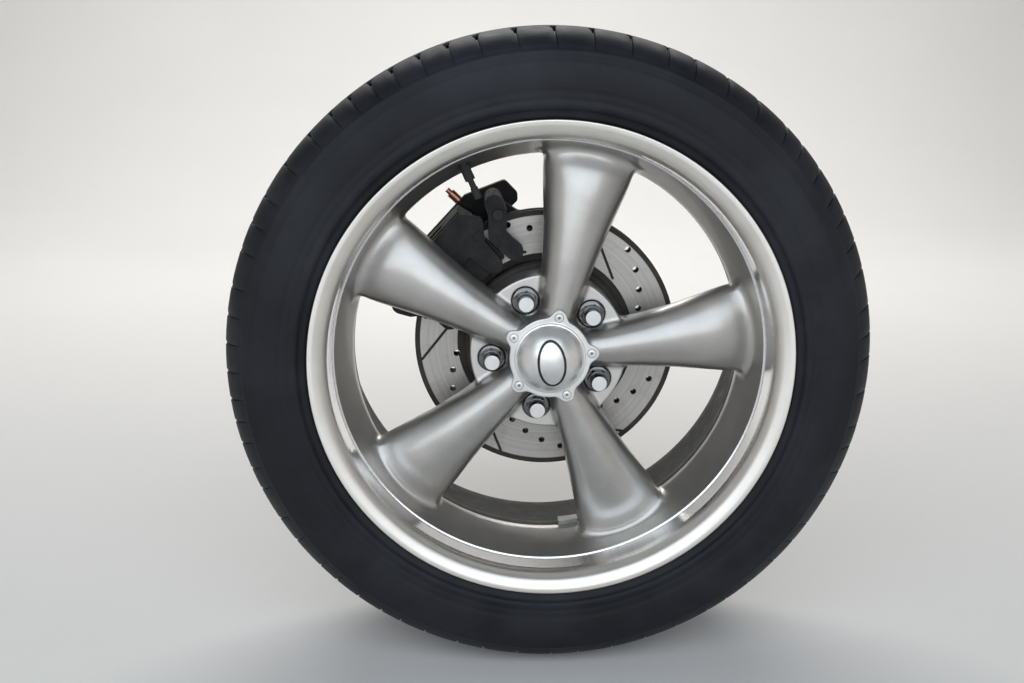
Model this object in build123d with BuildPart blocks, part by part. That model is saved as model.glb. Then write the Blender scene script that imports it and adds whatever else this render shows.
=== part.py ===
from build123d import *
import math
import os

os.makedirs("parts", exist_ok=True)

# Rear wheel of a muscle car on the end of its live axle, with its disc brake. Millimetres.
# The wheel turns about Y, its outboard side faces -Y and +Z is up.
# The origin lies on the wheel axis, in the plane where the axle housing's flange bolts on.
# A depth runs inboard from the plane of the rim's outboard lip.
# A clock angle runs from +Z towards +X, as seen from outboard.

# Assembly stack, from the lip plane inboard
SEAT_DEPTH = 108.35                      # wheel mounting face
HAT_THICKNESS = 8.0                      # brake disc between wheel and axle flange
FLANGE_STANDOFF = 63.5                   # axle flange face to housing flange plane
FLANGE_DEPTH = SEAT_DEPTH + HAT_THICKNESS
HOUSING_DEPTH = FLANGE_DEPTH + FLANGE_STANDOFF

# Gaps
SEATED = 0.3                             # between fastened pieces
PRESSED = 0.02                           # radial, rings pressed on the shaft
RUNNING = 0.05                           # radial, in the wheel bearing

# Rim
RIM_RADIUS = 231.0                       # bead seat
RIM_WIDTH = 229.0                        # over both lips
LIP_HEIGHT = 15.0
LIP_EDGE = 2.0                           # lip's rounded edge
FLANGE_WIDTH = 12.9                      # lip plane to the bead side of the lip
BEAD_SEAT_WIDTH = 21.0
RIM_WALL = 5.0
DISH_DROP = 4.5                          # foot of the dished lip, below the bead seat
DISH_DEPTH = 20.0
DISH_MIDDLE_RISE = 1.0                   # point halfway round the dished arc
DISH_MIDDLE_DEPTH = 7.4
STEP_DROP = 7.8                          # machined lip ends, painted barrel begins
STEP_DEPTH = 43.2
BARREL_DROP = 24.5                       # outer end of the spoke windows
BARREL_DEPTH = 88.0
WELL_WIDTH = 16.0
REAR_DROP = 9.0
REAR_SLOPE = 31.0
LIP_RADIUS = RIM_RADIUS + LIP_HEIGHT
STEP_RADIUS = RIM_RADIUS - STEP_DROP
BARREL_RADIUS = RIM_RADIUS - BARREL_DROP
REAR_RADIUS = RIM_RADIUS - REAR_DROP
WELL_DEPTH = BARREL_DEPTH + WELL_WIDTH
REAR_DEPTH = WELL_DEPTH + REAR_SLOPE

# Spokes, hub and wheel bolts
SPOKES = 5
SPOKE_CLOCK = 12.0
BOLTS = 5
BOLT_CLOCK = SPOKE_CLOCK + 180.0 / SPOKES
BOLT_CIRCLE_RADIUS = 60.325
STUD_RADIUS = 6.2
STUD_HEAD_RADIUS = 9.0
STUD_HEAD_THICKNESS = 4.0
STUD_FRONT = 56.0
BOLT_HOLE_RADIUS = 8.0
POCKET_RADIUS = 16.5
POCKET_DEPTH = 90.0
PAD_RADIUS = BOLT_CIRCLE_RADIUS + 22.7
PAD_DEPTH = 69.0
PAD_EDGE = 2.0
CENTRE_BORE_RADIUS = 35.4
HUB_RADIUS = CENTRE_BORE_RADIUS + 11.6

# Centre cap
EAR_DEPTH = 40.0                         # front of the flange
CAP_RADIUS = HUB_RADIUS - 4.7
EAR_CIRCLE_RADIUS = CAP_RADIUS + 1.1
EAR_RADIUS = 7.8
EAR_FILLET = 5.0
DOME_DEPTH = 17.0
DOME_EDGE_DEPTH = 38.4
DOME_EDGE_RADIUS = CAP_RADIUS - 7.3
CAP_WALL = 3.2
CAP_SCREW_RADIUS = 2.0
CAP_SCREW_HEAD_RADIUS = 4.2
CAP_SCREW_HEAD = 1.2
CAP_SCREW_SINK = 0.8

# Lug nuts
NUT_HEX_RADIUS = 13.9
NUT_CHAMFER = 2.0
NUT_HEX_FRONT = 59.0
NUT_END_RADIUS = 8.25
NUT_FRONT = 46.9
NUT_COLLAR_RADIUS = 15.6
NUT_COLLAR_FRONT = 69.0
NUT_COLLAR_BACK = 72.0

# Valve and balance weight
VALVE_CLOCK = -24.0
VALVE_DEPTH = 60.0
VALVE_RADIUS = 5.2
VALVE_FLANGE_RADIUS = 6.6
WEIGHT_CLOCK = 173.0
WEIGHT_LENGTH = 22.0
WEIGHT_WIDTH = 14.0
WEIGHT_THICKNESS = 4.5

# Tyre
TYRE_SECTION_HEIGHT = 103.3              # bead seat to tread
TYRE_BULGE = 3.0                         # sidewall beyond the lip plane
TYRE_BULGE_SHARE = 0.43                  # of the way from lip to tread
TYRE_WALL = 9.0
TREAD_THICKNESS = 12.5
TREAD_INSET = 36.0                       # shoulder inboard of the lip plane
TREAD_DROP = 2.8                         # crown to shoulder
GROOVE_DEPTH = 7.0
GROOVE_WIDTH = 9.0
GROOVE_PITCH = 40.0
GROOVES = 4
TYRE_RADIUS = RIM_RADIUS + TYRE_SECTION_HEIGHT

# Axle flange
AXLE_FLANGE_THICKNESS = 10.0
AXLE_FLANGE_RADIUS = BOLT_CIRCLE_RADIUS + 16.7
ACCESS_HOLE_RADIUS = 9.0                 # for the wrench that reaches the retainer's nuts
ACCESS_CIRCLE_RADIUS = 54.4

# Brake disc
HAT_WALL = 7.0
HAT_RADIUS = AXLE_FLANGE_RADIUS + HAT_WALL + 5.5
DISC_INNER_RADIUS = HAT_RADIUS + 7.0
DISC_FACE_WIDTH = 46.5
DISC_RADIUS = DISC_INNER_RADIUS + DISC_FACE_WIDTH
DISC_FACE_DEPTH = 121.5
DISC_THICKNESS = 20.0
DISC_PLATE = 6.0
VANES = 36
VANE_THICKNESS = 4.0
HOLE_ROWS = 6
HOLES_PER_ROW = 5
HOLE_RADIUS = 3.4
HOLE_EDGE = 9.8                          # outermost hole's centre, in from the disc's edge
HOLE_STEP = 8.65                         # radial
HOLE_SWEEP = 9.9                         # clock angle from hole to hole
HOLE_CLOCK = -18.1
SLOT_WIDTH = 3.0
SLOT_CUT = 1.5
SLOT_CLOCK = -98.9                       # slot's outer end
SLOT_SWEEP = 26.0

# Axle shaft
SPIGOT_CHAMFER = 1.5
NECK_TAPER = 12.0
SHAFT_LENGTH = 743.0
SHAFT_RADIUS = 16.0
SHAFT_TAPER = 42.0
SPLINE_RADIUS = 16.8
SPLINE_LENGTH = 62.0
SPLINE_TEETH = 28
SPLINE_CUT = 1.3

# Wheel bearing
BEARING_BORE_RADIUS = 20.0
BEARING_RADIUS = 40.0
BEARING_WIDTH = 23.0
BEARING_PROUD = 8.0                      # stands out of the housing bore
BEARING_RACE_RADIUS = BEARING_BORE_RADIUS + 7.0
BEARING_RELIEF = 0.5                     # the outer ring is smaller where it stands out of the bore
BEARING_LIP = 10.0                       # retainer over the outer ring's face
LOCK_RING_WIDTH = 15.0
LOCK_RING_RADIUS = BEARING_BORE_RADIUS + 6.0

# Plates bolted to the housing flange
HOUSING_BOLT_X = 90.5
HOUSING_BOLT_Z = 60.3
HOUSING_HOLE_RADIUS = 5.0
PLATE_MARGIN = 12.0                      # plate edge beyond its holes
BRACKET_THICKNESS = 8.0
RETAINER_THICKNESS = 6.0

# Caliper, described at the top of the disc and then turned to its clock angle
CALIPER_CLOCK = -47.0
DISC_GAP = 5.0
PAD_GAP = 0.3
LINING = 9.0
BACKING = 5.0
BONDED = 0.02                            # between a pad's lining and its backing

# Caliper anchor, guide pins and bolts
FRONT_FACE = 95.5                        # outboard face of anchor and fingers
GUIDE_X = 68.0
GUIDE_Z = DISC_RADIUS - 8.0
GUIDE_RADIUS = 4.5
GUIDE_HEAD_RADIUS = 5.5
GUIDE_HEAD = 4.0
GUIDE_BOSS_RADIUS = 10.0
BOOT_LENGTH = 12.0
BOOT_RADIUS = 8.0
BOOT_FOLD = 1.5
BOOT_RIBS = 4
ANCHOR_BOLT_X = 70.0
ANCHOR_BOLT_Z = DISC_RADIUS - 39.0
ANCHOR_BOLT_RADIUS = 5.0
ANCHOR_BOLT_DEPTH = 18.0                 # of its hole in the lug
ANCHOR_LUG_RADIUS = 13.0
LEG_X = 51.0
LEG_LOW = DISC_RADIUS - 48.0             # centre of the leg's rounded tip
LEG_HIGH = DISC_RADIUS - 23.0
LEG_RADIUS = 9.5
TIE_BAR_Z = DISC_RADIUS - 63.0
TIE_BAR_RADIUS = 6.0
TIE_BAR_THICKNESS = 14.5
BOLT_HEAD = 6.0
BOLT_HEAD_RADIUS = 9.0

# Caliper body, piston and fittings
FINGER_X = 26.0
FINGER_LOW = DISC_RADIUS - 42.0
FINGER_RADIUS = 9.0
FINGER_HIGH = DISC_RADIUS - 7.0
FINGER_ROOT_RADIUS = 12.6
SQUARE_X = 37.0
SQUARE_Z = DISC_RADIUS - 9.0
SQUARE_SIZE = 9.0
SQUARE_HEIGHT = 2.0
BRIDGE_LOW = DISC_RADIUS + 8.0
BRIDGE_HIGH = DISC_RADIUS + 24.0
BRIDGE_HALF_WIDTH = 45.0
BRIDGE_WINDOW = 14.0
PISTON_Z = DISC_RADIUS - 25.0
PISTON_RADIUS = 24.0
PISTON_LENGTH = 33.0
PISTON_PROUD = 4.0                       # out of its cylinder
CYLINDER_WALL = 7.0
EAR_THICKNESS = 11.0
EAR_TOP = DISC_RADIUS + 25.0
BLEED_X = -20.0
BLEED_RADIUS = 3.2
BLEED_LENGTH = 12.0
FITTING_X = 43.0
FITTING_RADIUS = 5.0
FITTING_LENGTH = 18.0


def at(depth):
    """Y of a depth below the lip plane."""
    return depth - HOUSING_DEPTH


def facing(depth):
    """Sketch plane across the axle at a depth: X right, Z up, extruding outboard."""
    return Plane(origin=(0, at(depth), 0), x_dir=(1, 0, 0), z_dir=(0, -1, 0))


def around(radius, clock, count):
    """Places evenly spaced on a circle, from a first clock angle."""
    return PolarLocations(radius, count, start_angle=90 - clock, angular_range=-360)


def outline(corners):
    """Face on a plane through the axle, from (radius, depth) corners."""
    with BuildSketch(Plane.XY) as profile:
        with BuildLine():
            Polyline([(radius, at(depth)) for radius, depth in corners], close=True)
        make_face()
    return profile.sketch


def turned(corners, mode=Mode.ADD):
    """Ring about the axle from (radius, depth) corners."""
    revolve(outline(corners), axis=Axis.Y, mode=mode)


def ring(inner, outer, front, back, mode=Mode.ADD):
    """Ring of rectangular section about the axle."""
    turned([(inner, front), (outer, front), (outer, back), (inner, back)], mode)


def discs(radius, back, front, places, mode=Mode.ADD):
    """Cylinders along the axle between two depths, at places across it."""
    with BuildSketch(facing(back)) as profile:
        with places:
            Circle(radius)
    extrude(profile.sketch, amount=back - front, mode=mode)


def block(corners, back, front, mode=Mode.ADD, corner_radius=0.0):
    """Prism along the axle between two depths, from (x, z) corners that may be rounded."""
    with BuildSketch(facing(back)) as profile:
        with BuildLine():
            Polyline(corners, close=True)
        make_face()
        if corner_radius:
            fillet(profile.vertices(), corner_radius)
    extrude(profile.sketch, amount=back - front, mode=mode)


def limb(ends, back, front, mode=Mode.ADD):
    """Prism whose outline wraps circles, each given as x, z and radius."""
    with BuildSketch(facing(back)) as profile:
        for x, z, radius in ends:
            with Locations((x, z)):
                Circle(radius)
        make_hull()
    extrude(profile.sketch, amount=back - front, mode=mode)


def mirrored(corners):
    """Corners of the right half of an outline, low to high, completed with their mirror image."""
    return corners + [(-x, z) for x, z in reversed(corners)]


def by_disc_edge(corners):
    """Mirrored outline from (x, height above the disc's edge) corners of its right half."""
    return mirrored([(x, DISC_RADIUS + height) for x, height in corners])


def save(part, name):
    part.label = name
    export_step(part, f"parts/{name}.step")


# Wheel casting
# Spoke sections, the last two inside the barrel wall:
# share of the way from hub pad to barrel, crown and edge and back below the step, half width
SPOKE_SECTIONS = [
    (-0.42, 3.8, 27.0, 55.0, 18.0),
    (0.00, 2.4, 29.0, 47.0, 24.5),
    (0.44, 4.8, 35.0, 40.0, 34.5),
    (0.78, 8.8, 40.0, 42.0, 43.0),
    (0.98, 18.0, 42.5, 47.0, 49.0),
    (1.08, 30.0, 45.0, 50.0, 52.0),
]

with BuildPart() as spoke:
    for share, crown, edge, back, half in SPOKE_SECTIONS:
        reach = PAD_RADIUS + share * (BARREL_RADIUS - PAD_RADIUS)
        crown_y, edge_y, back_y = [at(STEP_DEPTH + depth) for depth in (crown, edge, back)]
        with BuildSketch(Plane.XY.offset(reach)):
            with BuildLine():
                ThreePointArc((-half, edge_y), (0, crown_y), (half, edge_y))
                Polyline((half, edge_y), (half, back_y), (-half, back_y), (-half, edge_y))
            make_face()
    loft()
    turned([(0, STEP_DEPTH + 1), (STEP_RADIUS + 1, STEP_DEPTH + 1), (BARREL_RADIUS + 3, BARREL_DEPTH + 1),
            (BARREL_RADIUS + 3, BARREL_DEPTH + 6), (PAD_RADIUS, SEAT_DEPTH), (0, SEAT_DEPTH)],
           mode=Mode.INTERSECT)

bead_seat_end = FLANGE_WIDTH + BEAD_SEAT_WIDTH

with BuildPart() as alloy_wheel:
    with BuildSketch(Plane.XY):
        with BuildLine():
            ThreePointArc((LIP_RADIUS - LIP_EDGE, at(0)),
                          (RIM_RADIUS + DISH_MIDDLE_RISE, at(DISH_MIDDLE_DEPTH)),
                          (RIM_RADIUS - DISH_DROP, at(DISH_DEPTH)))
            Polyline([(radius, at(depth)) for radius, depth in [
                (RIM_RADIUS - DISH_DROP, DISH_DEPTH), (STEP_RADIUS, STEP_DEPTH),
                (BARREL_RADIUS, BARREL_DEPTH), (BARREL_RADIUS, WELL_DEPTH),
                (REAR_RADIUS, REAR_DEPTH), (REAR_RADIUS, RIM_WIDTH - bead_seat_end),
                (RIM_RADIUS - RIM_WALL, RIM_WIDTH - FLANGE_WIDTH), (LIP_RADIUS - RIM_WALL, RIM_WIDTH),
                (LIP_RADIUS, RIM_WIDTH), (LIP_RADIUS, RIM_WIDTH - FLANGE_WIDTH),
                (RIM_RADIUS, RIM_WIDTH - FLANGE_WIDTH), (RIM_RADIUS, RIM_WIDTH - bead_seat_end),
                (REAR_RADIUS + RIM_WALL, RIM_WIDTH - bead_seat_end - BEAD_SEAT_WIDTH),
                (REAR_RADIUS + RIM_WALL, REAR_DEPTH - RIM_WALL),
                (BARREL_RADIUS + RIM_WALL, WELL_DEPTH + RIM_WALL / 2),
                (BARREL_RADIUS + RIM_WALL, BARREL_DEPTH + RIM_WALL / 2),
                (STEP_RADIUS + RIM_WALL, STEP_DEPTH), (RIM_RADIUS, bead_seat_end),
                (RIM_RADIUS, FLANGE_WIDTH), (LIP_RADIUS, FLANGE_WIDTH),
                (LIP_RADIUS, LIP_EDGE), (LIP_RADIUS - LIP_EDGE, 0),
            ]])
        make_face()
    revolve(axis=Axis.Y)
    for k in range(SPOKES):
        add(spoke.part.rotate(Axis.Y, SPOKE_CLOCK + 360.0 * k / SPOKES))
    turned([(0, STEP_DEPTH), (HUB_RADIUS, STEP_DEPTH), (HUB_RADIUS, PAD_DEPTH),
            (PAD_RADIUS - PAD_EDGE, PAD_DEPTH), (PAD_RADIUS, PAD_DEPTH + PAD_EDGE),
            (PAD_RADIUS, SEAT_DEPTH), (0, SEAT_DEPTH)])
    with Locations(facing(STEP_DEPTH)):
        Hole(CENTRE_BORE_RADIUS)
    with Locations(facing(STEP_DEPTH)):
        with around(BOLT_CIRCLE_RADIUS, BOLT_CLOCK, BOLTS):
            CounterBoreHole(BOLT_HOLE_RADIUS, POCKET_RADIUS, POCKET_DEPTH - STEP_DEPTH)
    barrel_slope = (STEP_RADIUS - BARREL_RADIUS) / (BARREL_DEPTH - STEP_DEPTH)
    valve_wall = STEP_RADIUS - barrel_slope * (VALVE_DEPTH - STEP_DEPTH)
    with BuildPart(mode=Mode.PRIVATE) as valve_cut:
        with BuildSketch(Plane.XY.offset(valve_wall - RIM_WALL)):
            with Locations((0, at(VALVE_DEPTH))):
                Circle(VALVE_RADIUS + SEATED)
        extrude(amount=3 * RIM_WALL)
    add(valve_cut.part.rotate(Axis.Y, VALVE_CLOCK), mode=Mode.SUBTRACT)
save(alloy_wheel.part, "alloy_wheel")

# Tyre, hollow, with grooves round its tread
MID_DEPTH = RIM_WIDTH / 2
bead_radius = RIM_RADIUS + SEATED
bead_face = FLANGE_WIDTH + SEATED
bead_toe = bead_seat_end - SEATED
bulge_radius = LIP_RADIUS + TYRE_BULGE_SHARE * (TYRE_RADIUS - LIP_RADIUS)
shoulder_radius = TYRE_RADIUS - TREAD_DROP
tread_inside = TYRE_RADIUS - TREAD_THICKNESS


def quarter_round(low, high, front, back, steps):
    """Corners along a quarter ellipse, from its widest point up to the shoulder."""
    turns = [math.pi / 2 * k / steps for k in range(steps + 1)]
    return [(low + (high - low) * math.sin(turn), back - (back - front) * math.cos(turn)) for turn in turns]


tyre_outer = [(bead_radius, bead_toe), (bead_radius, bead_face), (LIP_RADIUS + SEATED, bead_face),
              (LIP_RADIUS + SEATED, LIP_EDGE), (LIP_RADIUS + LIP_EDGE, 0)]
tyre_outer += quarter_round(bulge_radius, shoulder_radius, -TYRE_BULGE, TREAD_INSET, 5)
tyre_inner = [(bead_radius + TYRE_WALL, bead_toe), (bulge_radius - 2 * TYRE_WALL, TYRE_WALL)]
tyre_inner += quarter_round(bulge_radius, tread_inside, TYRE_WALL - TYRE_BULGE, TREAD_INSET, 4)

with BuildPart() as tyre:
    turned(tyre_outer + [(TYRE_RADIUS, MID_DEPTH), (tread_inside, MID_DEPTH)] + tyre_inner[::-1])
    mirror(about=Plane.XZ.offset(-at(MID_DEPTH)))
    for k in range(GROOVES):
        middle = MID_DEPTH + (k - (GROOVES - 1) / 2) * GROOVE_PITCH
        ring(TYRE_RADIUS - GROOVE_DEPTH, TYRE_RADIUS + 1, middle - GROOVE_WIDTH / 2, middle + GROOVE_WIDTH / 2,
             mode=Mode.SUBTRACT)
save(tyre.part, "tyre")

# Centre cap: a thin dome on a flange with an ear over each spoke
cap_seat = STEP_DEPTH - SEATED
dome_rise = DOME_EDGE_DEPTH - DOME_DEPTH
dome_radius = (DOME_EDGE_RADIUS ** 2 + dome_rise ** 2) / (2 * dome_rise)
dome_centre = (0, at(DOME_DEPTH + dome_radius))
dome_sweep = math.degrees(math.asin(DOME_EDGE_RADIUS / dome_radius))

with BuildPart() as centre_cap:
    with BuildSketch(Plane.XY):
        with BuildLine():
            outer = CenterArc(dome_centre, dome_radius, -90, dome_sweep)
            inner = CenterArc(dome_centre, dome_radius - CAP_WALL, -90, dome_sweep)
            Polyline([outer @ 1, (DOME_EDGE_RADIUS + CAP_WALL / 2, at(EAR_DEPTH)), (CAP_RADIUS, at(EAR_DEPTH)),
                      (CAP_RADIUS, at(cap_seat)), (DOME_EDGE_RADIUS - CAP_WALL, at(cap_seat)), inner @ 1])
            Line(inner @ 0, outer @ 0)
        make_face()
    revolve(axis=Axis.Y)
    with BuildSketch(facing(cap_seat)) as ears:
        Circle(CAP_RADIUS)
        with around(EAR_CIRCLE_RADIUS, SPOKE_CLOCK, SPOKES):
            Circle(EAR_RADIUS)
        fillet(ears.vertices(), EAR_FILLET)
        Circle(CAP_RADIUS - CAP_WALL, mode=Mode.SUBTRACT)
    extrude(amount=cap_seat - EAR_DEPTH)
    with Locations(facing(EAR_DEPTH)):
        with around(EAR_CIRCLE_RADIUS, SPOKE_CLOCK, SPOKES):
            CounterBoreHole(CAP_SCREW_RADIUS + SEATED, CAP_SCREW_HEAD_RADIUS + SEATED, CAP_SCREW_SINK)
save(centre_cap.part, "centre_cap")

with BuildPart() as cap_screws:
    screw_circle = around(EAR_CIRCLE_RADIUS, SPOKE_CLOCK, SPOKES)
    head_back = EAR_DEPTH + CAP_SCREW_SINK - SEATED
    discs(CAP_SCREW_HEAD_RADIUS, head_back, head_back - CAP_SCREW_HEAD, screw_circle)
    discs(CAP_SCREW_RADIUS, cap_seat, head_back, screw_circle)
save(cap_screws.part, "cap_screws")

# Studs pressed into the axle flange, and their flanged hexagon nuts
stud_back = FLANGE_DEPTH + AXLE_FLANGE_THICKNESS
stud_circle = around(BOLT_CIRCLE_RADIUS, BOLT_CLOCK, BOLTS)

with BuildPart() as lug_nut:
    hex_top = POCKET_DEPTH - NUT_HEX_FRONT
    with BuildSketch(Plane.XY.offset(SEATED)):
        RegularPolygon(NUT_HEX_RADIUS, 6)
    extrude(amount=hex_top - SEATED)
    with BuildSketch(Plane.XZ):
        with BuildLine():
            Polyline([(0, SEATED), (NUT_HEX_RADIUS, SEATED), (NUT_HEX_RADIUS, hex_top - NUT_CHAMFER),
                      (NUT_HEX_RADIUS - 2 * NUT_CHAMFER, hex_top), (0, hex_top)], close=True)
        make_face()
    revolve(axis=Axis.Z, mode=Mode.INTERSECT)
    for radius, front, back in [(NUT_COLLAR_RADIUS, NUT_COLLAR_FRONT, NUT_COLLAR_BACK),
                                (NUT_END_RADIUS, NUT_FRONT, NUT_HEX_FRONT)]:
        with BuildSketch(Plane.XY.offset(POCKET_DEPTH - back)):
            Circle(radius)
        extrude(amount=back - front)
    with BuildSketch(Plane.XY):
        Circle(STUD_RADIUS + SEATED)
    extrude(amount=POCKET_DEPTH - STUD_FRONT + SEATED, mode=Mode.SUBTRACT)

with BuildPart() as lug_nuts:
    with Locations(facing(POCKET_DEPTH)):
        with around(BOLT_CIRCLE_RADIUS, BOLT_CLOCK, BOLTS):
            add(lug_nut.part)
save(lug_nuts.part, "lug_nuts")

with BuildPart() as wheel_studs:
    discs(STUD_RADIUS, stud_back + SEATED, STUD_FRONT, stud_circle)
    discs(STUD_HEAD_RADIUS, stud_back + SEATED + STUD_HEAD_THICKNESS, stud_back + SEATED, stud_circle)
save(wheel_studs.part, "wheel_studs")

# Snap-in valve through the barrel wall: radius, foot and top beyond the wall's face
VALVE_STEPS = [
    (3.9, -38.0, -26.0),
    (3.1, -26.0, -18.0),
    (VALVE_RADIUS, -18.0, 9.0),
    (VALVE_FLANGE_RADIUS, -4.5, -2.8),
]

with BuildPart() as valve_stem:
    for radius, foot, top in VALVE_STEPS:
        with BuildSketch(Plane.XY.offset(valve_wall + foot)):
            with Locations((0, at(VALVE_DEPTH))):
                Circle(radius)
        extrude(amount=top - foot)
save(valve_stem.part.rotate(Axis.Y, VALVE_CLOCK), "valve_stem")

# Balance weight stuck inside the barrel
with BuildPart() as balance_weight:
    weight_sweep = math.degrees(WEIGHT_LENGTH / BARREL_RADIUS)
    weight_back = WELL_DEPTH - SEATED
    weight_front = weight_back - WEIGHT_WIDTH
    weight_foot = BARREL_RADIUS - SEATED
    weight_top = weight_foot - WEIGHT_THICKNESS
    revolve(outline([(weight_top, weight_front), (weight_foot, weight_front), (weight_foot, weight_back),
                     (weight_top, weight_back)]), axis=Axis.Y, revolution_arc=weight_sweep)
save(balance_weight.part.rotate(Axis.Y, WEIGHT_CLOCK - 90 - weight_sweep / 2), "balance_weight")

# Brake disc: two cast plates joined by vanes, on a hat; then drilled and slotted
disc_back = DISC_FACE_DEPTH + DISC_THICKNESS
vent_front = DISC_FACE_DEPTH + DISC_PLATE
vent_back = disc_back - DISC_PLATE

with BuildPart() as brake_disc:
    turned([(CENTRE_BORE_RADIUS, SEAT_DEPTH + SEATED), (HAT_RADIUS - PAD_EDGE, SEAT_DEPTH + SEATED),
            (HAT_RADIUS, SEAT_DEPTH + SEATED + PAD_EDGE), (HAT_RADIUS, DISC_FACE_DEPTH + SLOT_CUT),
            (DISC_INNER_RADIUS, DISC_FACE_DEPTH + SLOT_CUT), (DISC_INNER_RADIUS, DISC_FACE_DEPTH),
            (DISC_RADIUS, DISC_FACE_DEPTH), (DISC_RADIUS, vent_front), (HAT_RADIUS - HAT_WALL, vent_front),
            (HAT_RADIUS - HAT_WALL, FLANGE_DEPTH - SEATED), (CENTRE_BORE_RADIUS, FLANGE_DEPTH - SEATED)])
    ring(DISC_INNER_RADIUS, DISC_RADIUS, vent_back, disc_back)
    with BuildSketch(facing(vent_back)):
        with PolarLocations((DISC_INNER_RADIUS + DISC_RADIUS) / 2, VANES):
            Rectangle(DISC_FACE_WIDTH - VANE_THICKNESS, VANE_THICKNESS)
    extrude(amount=vent_back - vent_front)
    discs(STUD_RADIUS + 2 * SEATED, FLANGE_DEPTH, SEAT_DEPTH, stud_circle, mode=Mode.SUBTRACT)
    for k in range(HOLES_PER_ROW):
        reach = DISC_RADIUS - HOLE_EDGE - k * HOLE_STEP
        row = around(reach, HOLE_CLOCK + k * HOLE_SWEEP, HOLE_ROWS)
        discs(HOLE_RADIUS, disc_back + 1, DISC_FACE_DEPTH - 1, row, mode=Mode.SUBTRACT)
    for k in range(HOLE_ROWS):
        outer_clock = math.radians(SLOT_CLOCK + 360.0 * k / HOLE_ROWS)
        inner_clock = outer_clock + math.radians(SLOT_SWEEP)
        outer_end = DISC_RADIUS - 2 * SLOT_WIDTH
        inner_end = DISC_INNER_RADIUS + SLOT_WIDTH
        limb([(outer_end * math.sin(outer_clock), outer_end * math.cos(outer_clock), SLOT_WIDTH / 2),
              (inner_end * math.sin(inner_clock), inner_end * math.cos(inner_clock), SLOT_WIDTH / 2)],
             DISC_FACE_DEPTH + SLOT_CUT, DISC_FACE_DEPTH - 1, mode=Mode.SUBTRACT)
save(brake_disc.part, "brake_disc")

# Axle shaft, one forging from the wheel flange to the splines
spigot_radius = CENTRE_BORE_RADIUS - SEATED
spigot_front = SEAT_DEPTH - 2 * SPIGOT_CHAMFER
shaft_end = FLANGE_DEPTH + SHAFT_LENGTH
bearing_front = HOUSING_DEPTH - BEARING_PROUD
bearing_back = bearing_front + BEARING_WIDTH
lock_ring_back = bearing_back + SEATED + LOCK_RING_WIDTH
neck_radius = BEARING_BORE_RADIUS + 2.5

with BuildPart() as axle_shaft:
    turned([(0, spigot_front), (spigot_radius - SPIGOT_CHAMFER, spigot_front),
            (spigot_radius, spigot_front + SPIGOT_CHAMFER), (spigot_radius, FLANGE_DEPTH),
            (AXLE_FLANGE_RADIUS, FLANGE_DEPTH), (AXLE_FLANGE_RADIUS, stud_back), (spigot_radius, stud_back),
            (neck_radius, stud_back + NECK_TAPER), (neck_radius, bearing_front),
            (BEARING_BORE_RADIUS, bearing_front), (BEARING_BORE_RADIUS, lock_ring_back),
            (SHAFT_RADIUS, lock_ring_back + SHAFT_TAPER), (SHAFT_RADIUS, shaft_end - SPLINE_LENGTH),
            (SPLINE_RADIUS, shaft_end - SPLINE_LENGTH + SPLINE_CUT), (SPLINE_RADIUS, shaft_end - SPLINE_CUT),
            (SPLINE_RADIUS - SPLINE_CUT, shaft_end), (0, shaft_end)])
    discs(STUD_RADIUS + SEATED, stud_back, FLANGE_DEPTH, stud_circle, mode=Mode.SUBTRACT)
    access_circle = around(ACCESS_CIRCLE_RADIUS, SPOKE_CLOCK, BOLTS)
    discs(ACCESS_HOLE_RADIUS, stud_back, FLANGE_DEPTH, access_circle, mode=Mode.SUBTRACT)
    with BuildSketch(facing(shaft_end)):
        with PolarLocations(SPLINE_RADIUS, SPLINE_TEETH):
            Rectangle(2 * SPLINE_CUT, SPLINE_CUT, align=(Align.MAX, Align.CENTER))
    extrude(amount=SPLINE_LENGTH - SPLINE_CUT, mode=Mode.SUBTRACT)
save(axle_shaft.part, "axle_shaft")

ring_bore = BEARING_BORE_RADIUS + PRESSED

with BuildPart() as bearing_inner_ring:
    ring(ring_bore, BEARING_RACE_RADIUS, bearing_front, bearing_back)
save(bearing_inner_ring.part, "bearing_inner_ring")

with BuildPart() as bearing_lock_ring:
    ring(ring_bore, LOCK_RING_RADIUS, bearing_back + SEATED, lock_ring_back)
save(bearing_lock_ring.part, "bearing_lock_ring")

with BuildPart() as bearing_outer_ring:
    ring(BEARING_RACE_RADIUS + RUNNING, BEARING_RADIUS, HOUSING_DEPTH, bearing_back)
    ring(BEARING_RACE_RADIUS + RUNNING, BEARING_RADIUS - BEARING_RELIEF, bearing_front, HOUSING_DEPTH)
save(bearing_outer_ring.part, "bearing_outer_ring")

# Plates that bolt to the housing flange
housing_bolts = GridLocations(HOUSING_BOLT_X, HOUSING_BOLT_Z, 2, 2)
bracket_front = HOUSING_DEPTH - BRACKET_THICKNESS
retainer_back = bracket_front - SEATED
retainer_front = retainer_back - RETAINER_THICKNESS

with BuildPart() as bearing_retainer:
    with BuildSketch(facing(retainer_back)):
        RectangleRounded(HOUSING_BOLT_X + 2 * PLATE_MARGIN, HOUSING_BOLT_Z + 2 * PLATE_MARGIN, PLATE_MARGIN)
        Circle(BEARING_RADIUS - BEARING_LIP, mode=Mode.SUBTRACT)
    extrude(amount=RETAINER_THICKNESS)
    discs(HOUSING_HOLE_RADIUS, retainer_back, retainer_front, housing_bolts, mode=Mode.SUBTRACT)
save(bearing_retainer.part, "bearing_retainer")

anchor_bolt_places = Locations((-ANCHOR_BOLT_X, ANCHOR_BOLT_Z), (ANCHOR_BOLT_X, ANCHOR_BOLT_Z))
arm_top = ANCHOR_BOLT_Z + ANCHOR_LUG_RADIUS
BRACKET_ARM = [(84, arm_top - 19), (80, arm_top), (60, arm_top), (38, arm_top - 40)]

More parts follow.
